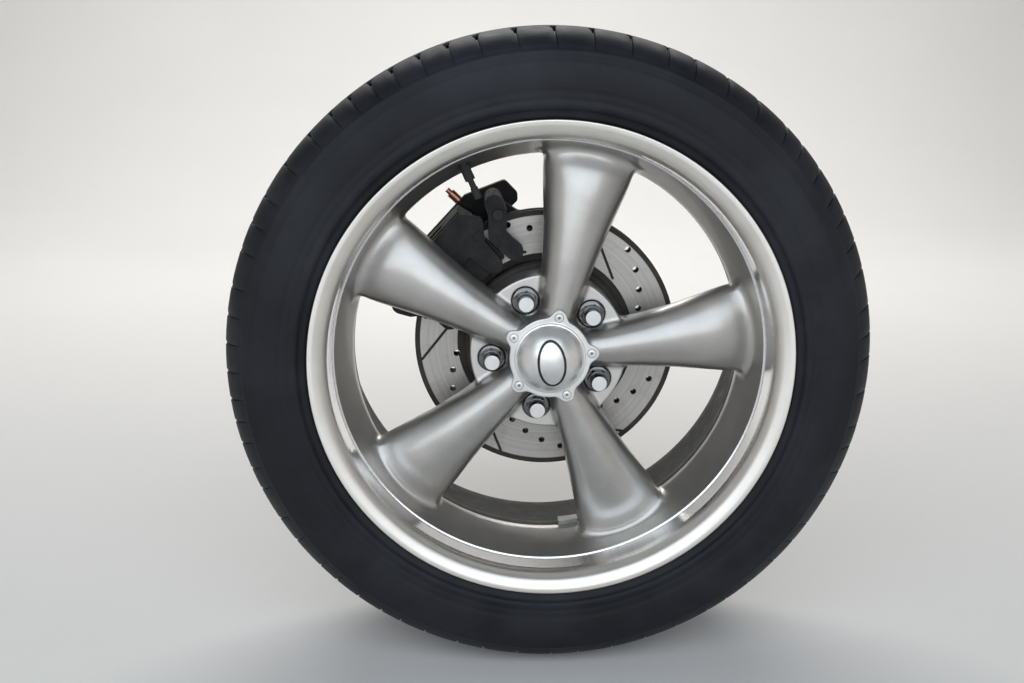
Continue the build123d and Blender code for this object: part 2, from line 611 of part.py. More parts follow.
with BuildPart() as caliper_bracket:
    block(mirrored([(60, -50), (66, 0)] + BRACKET_ARM), HOUSING_DEPTH, bracket_front,
          corner_radius=BRACKET_THICKNESS)
    discs(ANCHOR_BOLT_RADIUS + SEATED, HOUSING_DEPTH, bracket_front, anchor_bolt_places, mode=Mode.SUBTRACT)
bracket_arms = caliper_bracket.part.rotate(Axis.Y, CALIPER_CLOCK)
with BuildPart() as caliper_bracket:
    add(bracket_arms)
    discs(HOUSING_HOLE_RADIUS, HOUSING_DEPTH, bracket_front, housing_bolts, mode=Mode.SUBTRACT)
    with Locations(facing(bracket_front)):
        Hole(BEARING_RADIUS - BEARING_RELIEF + SEATED)
save(caliper_bracket.part, "caliper_bracket")


def save_turned(part, name):
    """Turn a piece described at the top of the disc to the caliper's clock angle, and save it."""
    save(part.rotate(Axis.Y, CALIPER_CLOCK), name)


# Anchor that straddles the disc: legs outboard, arms over the rim, lugs and a tie bar inboard
anchor_back = bracket_front - SEATED
boot_front = anchor_back - BOOT_LENGTH
pad_front = DISC_FACE_DEPTH - PAD_GAP - LINING - BACKING
guide_places = Locations((-GUIDE_X, GUIDE_Z), (GUIDE_X, GUIDE_Z))
disc_room = (0, DISC_RADIUS + DISC_GAP, DISC_FACE_DEPTH - DISC_GAP, disc_back + DISC_GAP)

with BuildPart() as caliper_anchor:
    for side in (-1, 1):
        leg_tip = (side * LEG_X, LEG_LOW, LEG_RADIUS)
        leg_top = (side * LEG_X, LEG_HIGH, LEG_RADIUS)
        boss = (side * GUIDE_X, GUIDE_Z, GUIDE_BOSS_RADIUS)
        arm = (side * (GUIDE_X + GUIDE_BOSS_RADIUS / 2), GUIDE_Z + GUIDE_BOSS_RADIUS, GUIDE_BOSS_RADIUS)
        lug = (side * ANCHOR_BOLT_X, ANCHOR_BOLT_Z, ANCHOR_LUG_RADIUS)
        tie = (side * LEG_X, TIE_BAR_Z, TIE_BAR_RADIUS)
        limb([leg_tip, leg_top], pad_front - SEATED, FRONT_FACE)
        limb([leg_top, boss], DISC_FACE_DEPTH - DISC_GAP, FRONT_FACE)
        limb([boss, arm], boot_front, FRONT_FACE)
        limb([boss, lug], boot_front, disc_back + DISC_GAP)
        limb([lug], anchor_back, disc_back + DISC_GAP)
        limb([lug, tie], anchor_back, anchor_back - TIE_BAR_THICKNESS)
    limb([(-LEG_X, TIE_BAR_Z, TIE_BAR_RADIUS), (LEG_X, TIE_BAR_Z, TIE_BAR_RADIUS)], anchor_back,
         anchor_back - TIE_BAR_THICKNESS)
    ring(*disc_room, mode=Mode.SUBTRACT)
    discs(GUIDE_RADIUS + SEATED, anchor_back, FRONT_FACE, guide_places, mode=Mode.SUBTRACT)
    discs(ANCHOR_BOLT_RADIUS + SEATED, anchor_back, anchor_back - ANCHOR_BOLT_DEPTH, anchor_bolt_places,
          mode=Mode.SUBTRACT)
save_turned(caliper_anchor.part, "caliper_anchor")

with BuildPart() as anchor_bolts:
    discs(ANCHOR_BOLT_RADIUS, HOUSING_DEPTH + SEATED, anchor_back - ANCHOR_BOLT_DEPTH + SEATED,
          anchor_bolt_places)
    with BuildSketch(facing(HOUSING_DEPTH + SEATED + BOLT_HEAD)):
        with anchor_bolt_places:
            RegularPolygon(BOLT_HEAD_RADIUS, 6)
    extrude(amount=BOLT_HEAD)
save_turned(anchor_bolts.part, "anchor_bolts")

# Pads either side of the disc, each a lining on a steel backing
LINING_SHAPE = by_disc_edge([(35, -44), (38, -41), (38, -19), (24, -7)])
BACKING_SHAPE = by_disc_edge([(38, -46), (39.5, -44), (39.5, -17), (25, -4)])
outer_lining_back = DISC_FACE_DEPTH - PAD_GAP
inner_lining_front = disc_back + PAD_GAP
inner_backing_front = inner_lining_front + LINING

with BuildPart() as pad_linings:
    block(LINING_SHAPE, outer_lining_back, outer_lining_back - LINING)
    block(LINING_SHAPE, inner_backing_front, inner_lining_front)
save_turned(pad_linings.part, "pad_linings")

with BuildPart() as pad_backings:
    block(BACKING_SHAPE, outer_lining_back - LINING - BONDED, pad_front)
    block(BACKING_SHAPE, inner_backing_front + BACKING, inner_backing_front + BONDED)
save_turned(pad_backings.part, "pad_backings")

# Caliper body: fingers outboard, bridge over the disc, cylinder inboard, ears on the guide pins
finger_back = pad_front - SEATED
piston_front = inner_backing_front + BACKING + SEATED
cylinder_front = piston_front + PISTON_PROUD
ear_front = anchor_back + SEATED
ear_back = ear_front + EAR_THICKNESS
cylinder_back = piston_front + PISTON_LENGTH + 2 * PISTON_PROUD + CYLINDER_WALL
PLATE_SHAPE = by_disc_edge([(38, -17), (54, 1), (50, 9), (40, 23)])
EAR_SHAPE = by_disc_edge([(58, -21), (88, -22), (94, -16), (95, 4), (52, EAR_TOP - DISC_RADIUS)])
piston_axis = Locations((0, PISTON_Z))

with BuildPart() as caliper_body:
    for side in (-1, 1):
        finger_end = (side * FINGER_X, FINGER_LOW, FINGER_RADIUS)
        finger_root = (side * FINGER_X, FINGER_HIGH, FINGER_ROOT_RADIUS)
        limb([finger_end, finger_root], finger_back, FRONT_FACE)
    block(PLATE_SHAPE, finger_back, FRONT_FACE, corner_radius=4.0)
    with BuildSketch(facing(FRONT_FACE)):
        with Locations((SQUARE_X, SQUARE_Z)):
            Rectangle(SQUARE_SIZE, SQUARE_SIZE)
    extrude(amount=SQUARE_HEIGHT)
    block(mirrored([(BRIDGE_HALF_WIDTH, BRIDGE_LOW), (BRIDGE_HALF_WIDTH - 5, BRIDGE_HIGH)]),
          ear_back, finger_back)
    block(mirrored([(BRIDGE_HALF_WIDTH, PISTON_Z), (BRIDGE_HALF_WIDTH, BRIDGE_LOW)]), ear_back, cylinder_front)
    block(EAR_SHAPE, ear_back, ear_front, corner_radius=5.0)
    discs(PISTON_RADIUS + CYLINDER_WALL, cylinder_back, cylinder_front, piston_axis)
    discs(PISTON_RADIUS + SEATED, cylinder_back - CYLINDER_WALL, cylinder_front, piston_axis,
          mode=Mode.SUBTRACT)
    discs(GUIDE_RADIUS + SEATED, ear_back, ear_front, guide_places, mode=Mode.SUBTRACT)
    block(mirrored([(BRIDGE_WINDOW, DISC_RADIUS), (BRIDGE_WINDOW, EAR_TOP)]), disc_back, DISC_FACE_DEPTH,
          mode=Mode.SUBTRACT)
save_turned(caliper_body.part, "caliper_body")

with BuildPart() as caliper_piston:
    discs(PISTON_RADIUS, piston_front + PISTON_LENGTH, piston_front, piston_axis)
    discs(PISTON_RADIUS - CYLINDER_WALL, piston_front + 2 * PISTON_LENGTH / 3, piston_front, piston_axis,
          mode=Mode.SUBTRACT)
save_turned(caliper_piston.part, "caliper_piston")

with BuildPart() as guide_pins:
    discs(GUIDE_RADIUS, ear_back, FRONT_FACE - SEATED, guide_places)
    discs(GUIDE_HEAD_RADIUS, FRONT_FACE - SEATED, FRONT_FACE - SEATED - GUIDE_HEAD, guide_places)
    with BuildSketch(facing(ear_back + SEATED + BOLT_HEAD)):
        with guide_places:
            RegularPolygon(BOLT_HEAD_RADIUS, 6)
    extrude(amount=BOLT_HEAD)
    discs(GUIDE_RADIUS, ear_back + SEATED, ear_back, guide_places)
save_turned(guide_pins.part, "guide_pins")

# Ribbed boots between anchor and ears
with BuildPart() as guide_boots:
    rib_pitch = (BOOT_LENGTH - SEATED) / BOOT_RIBS
    for k in range(BOOT_RIBS):
        rib_back = anchor_back - k * rib_pitch
        discs(BOOT_RADIUS, rib_back, rib_back - rib_pitch / 2, guide_places)
        discs(BOOT_RADIUS - BOOT_FOLD, rib_back - rib_pitch / 2, rib_back - rib_pitch, guide_places)
    discs(GUIDE_RADIUS + SEATED, anchor_back, boot_front, guide_places, mode=Mode.SUBTRACT)
save_turned(guide_boots.part, "guide_boots")

# Bleed screw and the brake hose's fitting, both upright on the ears' top
ear_middle = ear_front + EAR_THICKNESS / 2


def upright(x, foot, steps):
    """Upright stack of cylinders above the caliper's ears, from (radius, length) steps."""
    for radius, length in steps:
        with BuildSketch(Plane.XY.offset(foot)) as profile:
            with Locations((x, at(ear_middle))):
                Circle(radius)
        extrude(profile.sketch, amount=length)
        foot += length


with BuildPart() as bleed_screw:
    upright(BLEED_X, EAR_TOP + SEATED, [(BLEED_RADIUS, 0.6 * BLEED_LENGTH),
                                        (0.6 * BLEED_RADIUS, 0.4 * BLEED_LENGTH)])
save_turned(bleed_screw.part, "bleed_screw")

with BuildPart() as hose_fitting:
    upright(FITTING_X, EAR_TOP + SEATED, [(FITTING_RADIUS, 0.7 * FITTING_LENGTH),
                                          (0.6 * FITTING_RADIUS, 0.3 * FITTING_LENGTH)])
save_turned(hose_fitting.part, "hose_fitting")
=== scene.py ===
import math

import bpy
import numpy as np
from mathutils import Matrix, Vector


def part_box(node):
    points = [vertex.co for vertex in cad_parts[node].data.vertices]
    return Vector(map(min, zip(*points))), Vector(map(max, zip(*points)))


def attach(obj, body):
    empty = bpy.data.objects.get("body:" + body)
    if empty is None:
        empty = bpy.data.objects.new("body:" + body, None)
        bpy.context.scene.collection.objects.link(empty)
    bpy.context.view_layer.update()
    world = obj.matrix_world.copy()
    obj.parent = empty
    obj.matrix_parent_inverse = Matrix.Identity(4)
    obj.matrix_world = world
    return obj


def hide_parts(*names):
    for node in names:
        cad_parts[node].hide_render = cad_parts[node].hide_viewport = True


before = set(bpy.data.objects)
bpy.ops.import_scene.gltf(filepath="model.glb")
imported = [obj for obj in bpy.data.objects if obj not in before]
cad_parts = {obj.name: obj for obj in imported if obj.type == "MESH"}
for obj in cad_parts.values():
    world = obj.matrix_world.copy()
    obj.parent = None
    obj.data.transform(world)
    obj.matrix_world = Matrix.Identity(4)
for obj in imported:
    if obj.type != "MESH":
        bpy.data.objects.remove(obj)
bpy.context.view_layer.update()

# Places, from the frame: the wheel turns about Y, its outboard side faces -Y and +Z is up.
# A radius is in millimetres from that axis, a depth in millimetres inboard of the rim's
# outboard lip, and a clock angle runs from +Z towards +X.
MM = 0.001
LIP_Y = -0.17985
TURNING = "wheel"
FLOOR_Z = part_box("tyre")[0].z

# Finishes that change from place to place
# Hub pad: radius and depth of its front, and the radii between which its paler front starts.
# The paler front is partly a machined facing and partly painted light on a face turned to the lamps;
# the darker paint left round the cap inside these radii is painted shade
HUB_PAD = (83.0, 69.0)
PAD_PALE_RADII = (50.0, 56.0)
# Depths between which the lip's dished face turns into its wall
LIP_WALL = (10.0, 20.0)
# Radii between which the tread starts to look worn
TREAD_WEAR = (329.0, 333.0)
# Brake disc: the radii that the pads sweep, the depth of its middle and half its thickness
DISC_SWEPT = (96.5, 137.5)
DISC_MIDDLE = 131.5
DISC_HALF = 10.0


def at(depth):
    """Y, in metres, of a depth in millimetres."""
    return LIP_Y + depth * MM


# Node materials


class Surface:
    """A material whose Principled shader is fed by the nodes added to it."""

    def __init__(self, name, colour, **values):
        self.material = bpy.data.materials.new(name)
        self.material.use_nodes = True
        self.tree = self.material.node_tree
        self.shader = self.tree.nodes["Principled BSDF"]
        self.shader.inputs["Base Color"].default_value = (*colour, 1)
        for socket, value in values.items():
            self.shader.inputs[socket.replace("_", " ")].default_value = value

    def node(self, kind, inputs=(), **settings):
        """A new node whose inputs are given as values or as the outputs that feed them."""
        node = self.tree.nodes.new("ShaderNode" + kind)
        for key, value in settings.items():
            setattr(node, key, value)
        for key, value in dict(inputs).items():
            if isinstance(value, bpy.types.NodeSocket):
                self.tree.links.new(value, node.inputs[key])
            else:
                node.inputs[key].default_value = value
        return node

    def feed(self, socket, output):
        """Links an output to a socket of the shader."""
        self.tree.links.new(output, self.shader.inputs[socket])

    def place(self):
        """Object coordinates, in metres."""
        return self.node("TexCoord").outputs["Object"]

    def maths(self, operation, a, b=0.0):
        """One sum on two numbers, or on the first of them."""
        return self.node("Math", {0: a, 1: b}, operation=operation).outputs[0]

    def polar(self):
        """Distance from the axis and depth behind the lip, in millimetres."""
        x, y, z = self.node("SeparateXYZ", {0: self.place()}).outputs
        square = self.maths("ADD", self.maths("MULTIPLY", x, x), self.maths("MULTIPLY", z, z))
        radius = self.maths("DIVIDE", self.maths("SQRT", square), MM)
        depth = self.maths("DIVIDE", self.maths("SUBTRACT", y, LIP_Y), MM)
        return radius, depth

    def turned_place(self):
        """Coordinates in which noise makes the fine rings that a lathe leaves."""
        radius, depth = self.polar()
        return self.node("CombineXYZ", {0: radius, 1: depth, 2: 0.0}).outputs[0]

    def radial_place(self):
        """Coordinates in which noise makes streaks that run out from the axis."""
        x, _, z = self.node("SeparateXYZ", {0: self.place()}).outputs
        flat = self.node("CombineXYZ", {0: x, 1: 0.0, 2: z}).outputs[0]
        return self.node("VectorMath", {0: flat}, operation="NORMALIZE").outputs[0]

    def rise(self, value, low, high):
        """0 below low and 1 above high, eased between them."""
        limits = {"Value": value, "From Min": low, "From Max": high}
        return self.node("MapRange", limits, interpolation_type="SMOOTHSTEP").outputs["Result"]

    def blend(self, factor, low, high):
        """A number that goes from low to high with a factor."""
        return self.node("MapRange", {"Value": factor, "To Min": low, "To Max": high}).outputs["Result"]

    def noise(self, vector, scale, detail=3.0, roughness=0.55):
        """Cloudy noise from 0 to 1."""
        values = {"Vector": vector, "Scale": scale, "Detail": detail, "Roughness": roughness}
        return self.node("TexNoise", values).outputs["Fac"]

    def ramp(self, factor, *stops):
        """Colour ramp from (position, colour) stops; a number is a grey."""
        node = self.node("ValToRGB", {0: factor})
        elements = node.color_ramp.elements
        while len(elements) < len(stops):
            elements.new(0.5)
        for element, (position, colour) in zip(elements, stops):
            element.position = position
            grey = (colour, colour, colour) if isinstance(colour, (int, float)) else colour
            element.color = (*grey, 1)
        return node.outputs[0]

    def mix(self, factor, a, b):
        """Colour that goes from a to b with a factor."""
        node = self.node("Mix", {0: factor}, data_type="RGBA")
        for socket, value in ((6, a), (7, b)):
            if isinstance(value, bpy.types.NodeSocket):
                self.tree.links.new(value, node.inputs[socket])
            else:
                node.inputs[socket].default_value = (*value, 1)
        return node.outputs[2]

    def bump(self, height, strength, distance, under=None):
        """Normal tilted by a height, on top of another bump if one is given."""
        values = {"Height": height, "Strength": strength, "Distance": distance}
        if under:
            values["Normal"] = under
        return self.node("Bump", values).outputs[0]


def wheel_paint():
    """Warm grey metallic paint with flake under a clear coat; the hub pad's front is paler, partly machined
    facing and partly painted light.
    """
    s = Surface("wheel_paint", (0.48, 0.465, 0.445), Metallic=0.92, Roughness=0.36,
                Coat_Weight=0.6, Coat_Roughness=0.08)
    place = s.place()
    radius, depth = s.polar()
    flake = s.node("TexVoronoi", {"Vector": place, "Scale": 2600.0}).outputs["Color"]
    cloud = s.noise(place, 34.0, 4.0)
    grain = s.node("SeparateColor", {0: flake}).outputs[0]
    paint = s.ramp(cloud, (0.3, (0.445, 0.43, 0.405)), (0.7, (0.52, 0.505, 0.48)))
    paint = s.mix(s.maths("MULTIPLY", grain, 0.16), paint, (0.72, 0.70, 0.67))
    pad_radius, pad_depth = HUB_PAD
    inside_edge = s.maths("LESS_THAN", radius, pad_radius - 1.4)
    inside_pad = s.maths("MULTIPLY", inside_edge, s.rise(radius, *PAD_PALE_RADII))
    at_face = s.maths("MULTIPLY", s.rise(depth, pad_depth - 0.9, pad_depth - 0.4),
                      s.maths("LESS_THAN", depth, pad_depth + 0.7))
    # Paler pad front: partly machined facing, partly painted light; the paint stays darker near the cap as
    # painted shade
    facing_and_painted_light = s.maths("MULTIPLY", inside_pad, at_face)
    s.feed("Base Color", s.mix(facing_and_painted_light, paint, (0.70, 0.68, 0.65)))
    s.feed("Roughness", s.blend(facing_and_painted_light, 0.36, 0.52))
    peel = s.noise(place, 320.0, 2.0)
    s.feed("Normal", s.bump(grain, 0.10, 0.0001, s.bump(peel, 0.05, 0.0003)))
    return s.material


def machined_lip():
    """Turned aluminium: a satin dished face, and a polished wall with streaks across the tool's rings."""
    s = Surface("machined_lip", (0.90, 0.88, 0.85), Metallic=1.0, Roughness=0.3, Anisotropic=0.55)
    s.feed("Tangent", s.node("Tangent", direction_type="RADIAL", axis="Y").outputs[0])
    _, depth = s.polar()
    wall = s.rise(depth, *LIP_WALL)
    rings = s.noise(s.turned_place(), 2.6, 2.0)
    streaks = s.noise(s.radial_place(), 46.0, 6.0, 0.7)
    smudge = s.noise(s.place(), 22.0, 5.0)
    face = s.ramp(smudge, (0.3, (0.85, 0.81, 0.745)), (0.7, (0.93, 0.895, 0.835)))
    polished = s.ramp(streaks, (0.35, (0.80, 0.80, 0.81)), (0.65, (0.90, 0.90, 0.90)))
    s.feed("Base Color", s.mix(wall, face, polished))
    face_rough = s.maths("ADD", s.maths("MULTIPLY", smudge, 0.12), 0.38)
    wall_rough = s.maths("ADD", s.maths("MULTIPLY", streaks, 0.14), 0.12)
    face_part = s.maths("MULTIPLY", face_rough, s.maths("SUBTRACT", 1.0, wall))
    s.feed("Roughness", s.maths("ADD", face_part, s.maths("MULTIPLY", wall_rough, wall)))
    s.feed("Normal", s.bump(rings, 0.2, 0.00005))
    return s.material


def satin_aluminium(name, shade, rough):
    """Light metal turned or blasted to a soft satin."""
    s = Surface(name, (shade, shade, shade), Metallic=1.0, Roughness=rough)
    rings = s.noise(s.turned_place(), 3.2, 2.0)
    smudge = s.noise(s.place(), 60.0, 5.0)
    low, high = shade - 0.07, shade + 0.05
    s.feed("Base Color", s.ramp(smudge, (0.3, (low, low, low - 0.01)), (0.7, (high, high, high - 0.01))))
    s.feed("Roughness", s.maths("ADD", s.maths("MULTIPLY", rings, 0.16), rough - 0.08))
    s.feed("Normal", s.bump(rings, 0.2, 0.00005))
    return s.material


def chrome(name, shade):
    """Bright plating with faint smears."""
    s = Surface(name, (shade, shade, shade), Metallic=1.0, Roughness=0.06)
    smudge = s.noise(s.place(), 140.0, 5.0)
    s.feed("Roughness", s.ramp(smudge, (0.35, 0.05), (0.8, 0.2)))
    dull = shade * 0.8
    s.feed("Base Color", s.ramp(smudge, (0.3, (shade, shade, shade * 1.02)), (0.85, (dull, dull, dull))))
    s.feed("Normal", s.bump(s.noise(s.place(), 500.0, 2.0), 0.03, 0.0001))
    return s.material


def tyre_rubber():
    """Blue-black rubber, a little dusty, with the grain of its mould."""
    s = Surface("tyre_rubber", (0.014, 0.015, 0.019), Roughness=0.6, Specular_IOR_Level=0.26)
    place = s.place()
    radius, _ = s.polar()
    dust = s.noise(place, 18.0, 6.0, 0.65)
    streak = s.noise(s.turned_place(), 0.09, 4.0)
    patch = s.noise(place, 6.5, 5.0, 0.6)
    base = s.ramp(dust, (0.35, (0.005, 0.006, 0.009)), (0.85, (0.018, 0.019, 0.024)))
    base = s.mix(s.maths("MULTIPLY", streak, 0.4), base, (0.011, 0.013, 0.018))
    base = s.mix(s.ramp(patch, (0.46, 0.0), (0.66, 0.6)), base, (0.027, 0.029, 0.037))
    worn = s.maths("MULTIPLY", s.rise(radius, *TREAD_WEAR), s.ramp(dust, (0.3, 0.15), (0.7, 0.6)))
    s.feed("Base Color", s.mix(worn, base, (0.050, 0.047, 0.044)))
    s.feed("Roughness", s.ramp(dust, (0.3, 0.46), (0.8, 0.74)))
    grain = s.noise(place, 1500.0, 3.0)
    s.feed("Normal", s.bump(grain, 0.25, 0.0002, s.bump(streak, 0.12, 0.0004)))
    return s.material


def ground_iron():
    """Brake disc: faces ground by the pads, with the hat, the rim and the vanes left black."""
    s = Surface("ground_iron", (0.42, 0.40, 0.38), Metallic=0.9, Roughness=0.38)
    radius, depth = s.polar()
    rings = s.noise(s.turned_place(), 1.5, 3.0)
    wear = s.noise(s.turned_place(), 0.26, 4.0)
    rust = s.noise(s.place(), 55.0, 6.0, 0.7)
    base = s.ramp(wear, (0.25, (0.42, 0.40, 0.375)), (0.75, (0.62, 0.60, 0.57)))
    base = s.mix(s.ramp(rust, (0.52, 0.0), (0.9, 0.6)), base, (0.30, 0.21, 0.15))
    first, last = DISC_SWEPT
    swept = s.maths("MULTIPLY", s.rise(radius, first - 0.3, first + 0.3),
                    s.maths("SUBTRACT", 1.0, s.rise(radius, last - 0.4, last + 0.4)))
    from_middle = s.maths("ABSOLUTE", s.maths("SUBTRACT", depth, DISC_MIDDLE))
    ground = s.maths("MULTIPLY", swept, s.maths("GREATER_THAN", from_middle, DISC_HALF - 1.0))
    black = s.ramp(rust, (0.35, (0.014, 0.013, 0.012)), (0.85, (0.060, 0.045, 0.035)))
    s.feed("Base Color", s.mix(ground, black, base))
    s.feed("Metallic", s.blend(ground, 0.1, 0.9))
    bare_rough = s.maths("ADD", s.maths("MULTIPLY", rings, 0.22), 0.30)
    s.feed("Roughness", s.maths("MAXIMUM", bare_rough, s.blend(ground, 0.62, 0.0)))
    s.feed("Normal", s.bump(rings, 0.35, 0.0001))
    return s.material


def black_paint(name, rough, shine=0.5):
    """Black coat or black rubber, with a little dust."""
    s = Surface(name, (0.014, 0.014, 0.015), Roughness=rough, Specular_IOR_Level=shine)
    place = s.place()
    dust = s.noise(place, 70.0, 6.0, 0.65)
    s.feed("Base Color", s.ramp(dust, (0.35, (0.009, 0.009, 0.010)), (0.85, (0.040, 0.038, 0.036))))
    s.feed("Roughness", s.ramp(dust, (0.3, rough - 0.12), (0.8, rough + 0.2)))
    s.feed("Normal", s.bump(s.noise(place, 900.0, 3.0), 0.35, 0.0003))
    return s.material


def forged_steel():
    """Axle forging with its dark scale."""
    s = Surface("forged_steel", (0.16, 0.15, 0.14), Metallic=0.75, Roughness=0.5)
    place = s.place()
    scale = s.noise(place, 45.0, 6.0, 0.65)
    s.feed("Base Color", s.ramp(scale, (0.35, (0.10, 0.095, 0.09)), (0.8, (0.24, 0.21, 0.185))))
    s.feed("Roughness", s.ramp(scale, (0.3, 0.38), (0.8, 0.66)))
    s.feed("Normal", s.bump(s.noise(place, 600.0, 4.0), 0.4, 0.0004))
    return s.material


def plain_steel():
    """Plated studs, ground bearing rings and the piston."""
    s = Surface("plain_steel", (0.55, 0.54, 0.51), Metallic=1.0, Roughness=0.3)
    place = s.place()
    cloud = s.noise(place, 120.0, 5.0)
    s.feed("Base Color", s.ramp(cloud, (0.3, (0.48, 0.47, 0.44)), (0.75, (0.66, 0.65, 0.61))))
    s.feed("Roughness", s.ramp(cloud, (0.3, 0.22), (0.8, 0.45)))
    s.feed("Normal", s.bump(s.noise(place, 700.0, 3.0), 0.15, 0.0001))
    return s.material


def copper():
    """Copper coloured brake fittings, dulled."""
    s = Surface("copper", (0.60, 0.30, 0.17), Metallic=1.0, Roughness=0.35)
    cloud = s.noise(s.place(), 160.0, 5.0)
    s.feed("Base Color", s.ramp(cloud, (0.3, (0.42, 0.21, 0.13)), (0.75, (0.72, 0.40, 0.25))))
    s.feed("Roughness", s.ramp(cloud, (0.3, 0.25), (0.8, 0.5)))
    return s.material


def pad_material():
    """Brake lining: dark friction compound with metal specks."""
    s = Surface("pad_material", (0.07, 0.065, 0.06), Roughness=0.85)
    place = s.place()
    speck = s.node("TexVoronoi", {"Vector": place, "Scale": 900.0}).outputs["Distance"]
    s.feed("Base Color", s.ramp(speck, (0.05, (0.30, 0.24, 0.18)), (0.25, (0.06, 0.055, 0.05))))
    s.feed("Normal", s.bump(speck, 0.4, 0.0003))
    return s.material


LOOKS = {
    "paint": wheel_paint(),
    "lip": machined_lip(),
    "cap": satin_aluminium("satin_aluminium", 0.92, 0.36),
    "cap_plate": satin_aluminium("cap_plate", 0.92, 0.42),
    "nut_end": satin_aluminium("nut_end", 0.86, 0.5),
    # Nut chrome with its base lowered to 0.2: partly a dark plating, partly painted dark reflection of
    # surroundings left out of the scene
    "chrome": chrome("dark_chrome_and_reflection", 0.2),
    "tyre": tyre_rubber(),
    "disc": ground_iron(),
    "black": black_paint("black_paint", 0.45, 0.3),
    "cast_black": black_paint("cast_black", 0.55, 0.2),
    "rubber": black_paint("boot_rubber", 0.7),
    "forged": forged_steel(),
    "steel": plain_steel(),
    "copper": copper(),
    "lining": pad_material(),
    # Inside of the barrel: black with little shine, partly painted shade for the dark inside of a fitted
    # wheel
    "barrel": black_paint("barrel_black_and_shade", 0.5, 0.16),
    "oval": black_paint("oval_enamel", 0.25),
    # Dark ring round the cap's screws: painted shadow
    "seat": satin_aluminium("screw_painted_shadow", 0.34, 0.6),
    "weight": satin_aluminium("weight_zinc", 0.26, 0.5),
    # Dark colour of the screws' sockets: painted shade
    "socket": satin_aluminium("screw_socket", 0.2, 0.6),
}


# Meshes


def new_object(name, vertices, faces, look, body, smooth=35.0, replaces=()):
    """Mesh object from vertices in metres, smooth where its faces meet at less than an angle."""
    mesh = bpy.data.meshes.new(name)
    mesh.from_pydata(np.asarray(vertices).tolist(), [], faces)
    mesh.validate()
    mesh.polygons.foreach_set("use_smooth", [True] * len(mesh.polygons))
    mesh.set_sharp_from_angle(angle=math.radians(smooth))
    piece = bpy.data.objects.new(name, mesh)
    bpy.context.scene.collection.objects.link(piece)
    mesh.materials.append(LOOKS[look])
    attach(piece, body)
    if replaces:
        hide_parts(*replaces)
    return piece


def ring_points(radii, depths, clocks):
    """Points in metres for arrays of radius and depth in millimetres and clock angle in radians."""
    radii, depths, clocks = np.broadcast_arrays(radii, depths, clocks)
    return np.stack([radii * np.sin(clocks) * MM, LIP_Y + depths * MM, radii * np.cos(clocks) * MM], axis=-1)


def grid_faces(rows, columns, wrap_rows):
    """Quads over rings of points stored ring by ring; the last ring can meet the first."""
    faces = []
    for i in range(rows if wrap_rows else rows - 1):
        for j in range(columns):
            a, b = i, (i + 1) % rows
            c, d = j, (j + 1) % columns
            faces.append((a * columns + c, a * columns + d, b * columns + d, b * columns + c))
    return faces


def ring_face(row, columns):
    """Face across one ring of a grid."""
    return tuple(range(row * columns, (row + 1) * columns))


def lathe(profile, columns):
    """Vertices and faces of a ring turned from a closed outline of (radius, depth) points."""
    points = np.array(profile, float)
    clocks = np.linspace(0, 2 * math.pi, columns, endpoint=False)
    vertices = ring_points(points[:, :1], points[:, 1:], clocks[None, :]).reshape(-1, 3)
    return vertices, grid_faces(len(points), columns, True)


def rounded(corners):
    """Closed outline with its corners rounded: corners are (radius, depth, fillet)."""
    side_share = 0.45
    facet_degrees = 12
    result = []
    count = len(corners)
    for i, (x, y, fillet) in enumerate(corners):
        here = np.array([x, y], float)
        if fillet <= 0:
            result.append(tuple(here))
            continue
        before = np.array(corners[i - 1][:2], float) - here
        after = np.array(corners[(i + 1) % count][:2], float) - here
        before_unit = before / np.linalg.norm(before)
        after_unit = after / np.linalg.norm(after)
        turn = math.pi - math.acos(np.clip(np.dot(before_unit, after_unit), -1, 1))
        longest = min(side_share * np.linalg.norm(before), side_share * np.linalg.norm(after))
        reach = min(fillet * math.tan(turn / 2), longest)
        steps = max(2, int(math.degrees(turn) / facet_degrees))
        for t in np.linspace(0, 1, steps + 1):
            start = here + before_unit * reach
            end = here + after_unit * reach
            point = (1 - t) ** 2 * start + 2 * t * (1 - t) * here + t ** 2 * end
            result.append(tuple(point))
    return result


def rounded_edges(piece, width):
    """Rounds the edges of a piece with a bevel modifier, its width in millimetres."""
    bevel = piece.modifiers.new("rounded edges", "BEVEL")
    bevel.width = width * MM
    bevel.segments = 2
    bevel.limit_method = "ANGLE"
    bevel.angle_limit = math.radians(35)
    bevel.harden_normals = True


def baked(piece):
    """Applies a piece's modifiers to its mesh."""
    depsgraph = bpy.context.evaluated_depsgraph_get()
    mesh = bpy.data.meshes.new_from_object(piece.evaluated_get(depsgraph))
    piece.modifiers.clear()
    piece.data = mesh


def curve_through(points, spacing):
    """Points about spacing apart on a smooth curve through the given (radius, depth) points."""
    knots = np.array(points, float)
    before = np.vstack([2 * knots[0] - knots[1], knots, 2 * knots[-1] - knots[-2]])
    result = []
    for i in range(1, len(knots)):
        p0, p1, p2, p3 = before[i - 1:i + 3]
        steps = max(1, round(np.linalg.norm(p2 - p1) / spacing))
        for t in np.arange(steps) / steps:
            result.append(0.5 * (2 * p1 + (p2 - p0) * t + (2 * p0 - 5 * p1 + 4 * p2 - p3) * t ** 2
                                 + (3 * p1 - p0 - 3 * p2 + p3) * t ** 3))
    result.append(knots[-1])
    return np.array(result)


# Wheel casting: painted spider

SPOKES = 5
SPOKE_CLOCK = math.radians(12)
SECTOR = 2 * math.pi / SPOKES

# Cone of the barrel: radius and depth at the lip's step and at the windows' outer edge, the radius
# that it loses a millimetre of depth, its wall, and the depth where it ends
STEP = (223.2, 43.2)
BARREL_EDGE = (206.5, 88.0)
BARREL_LEAN = 0.373
BARREL_WALL = 3.5
BARREL_END = 93.0
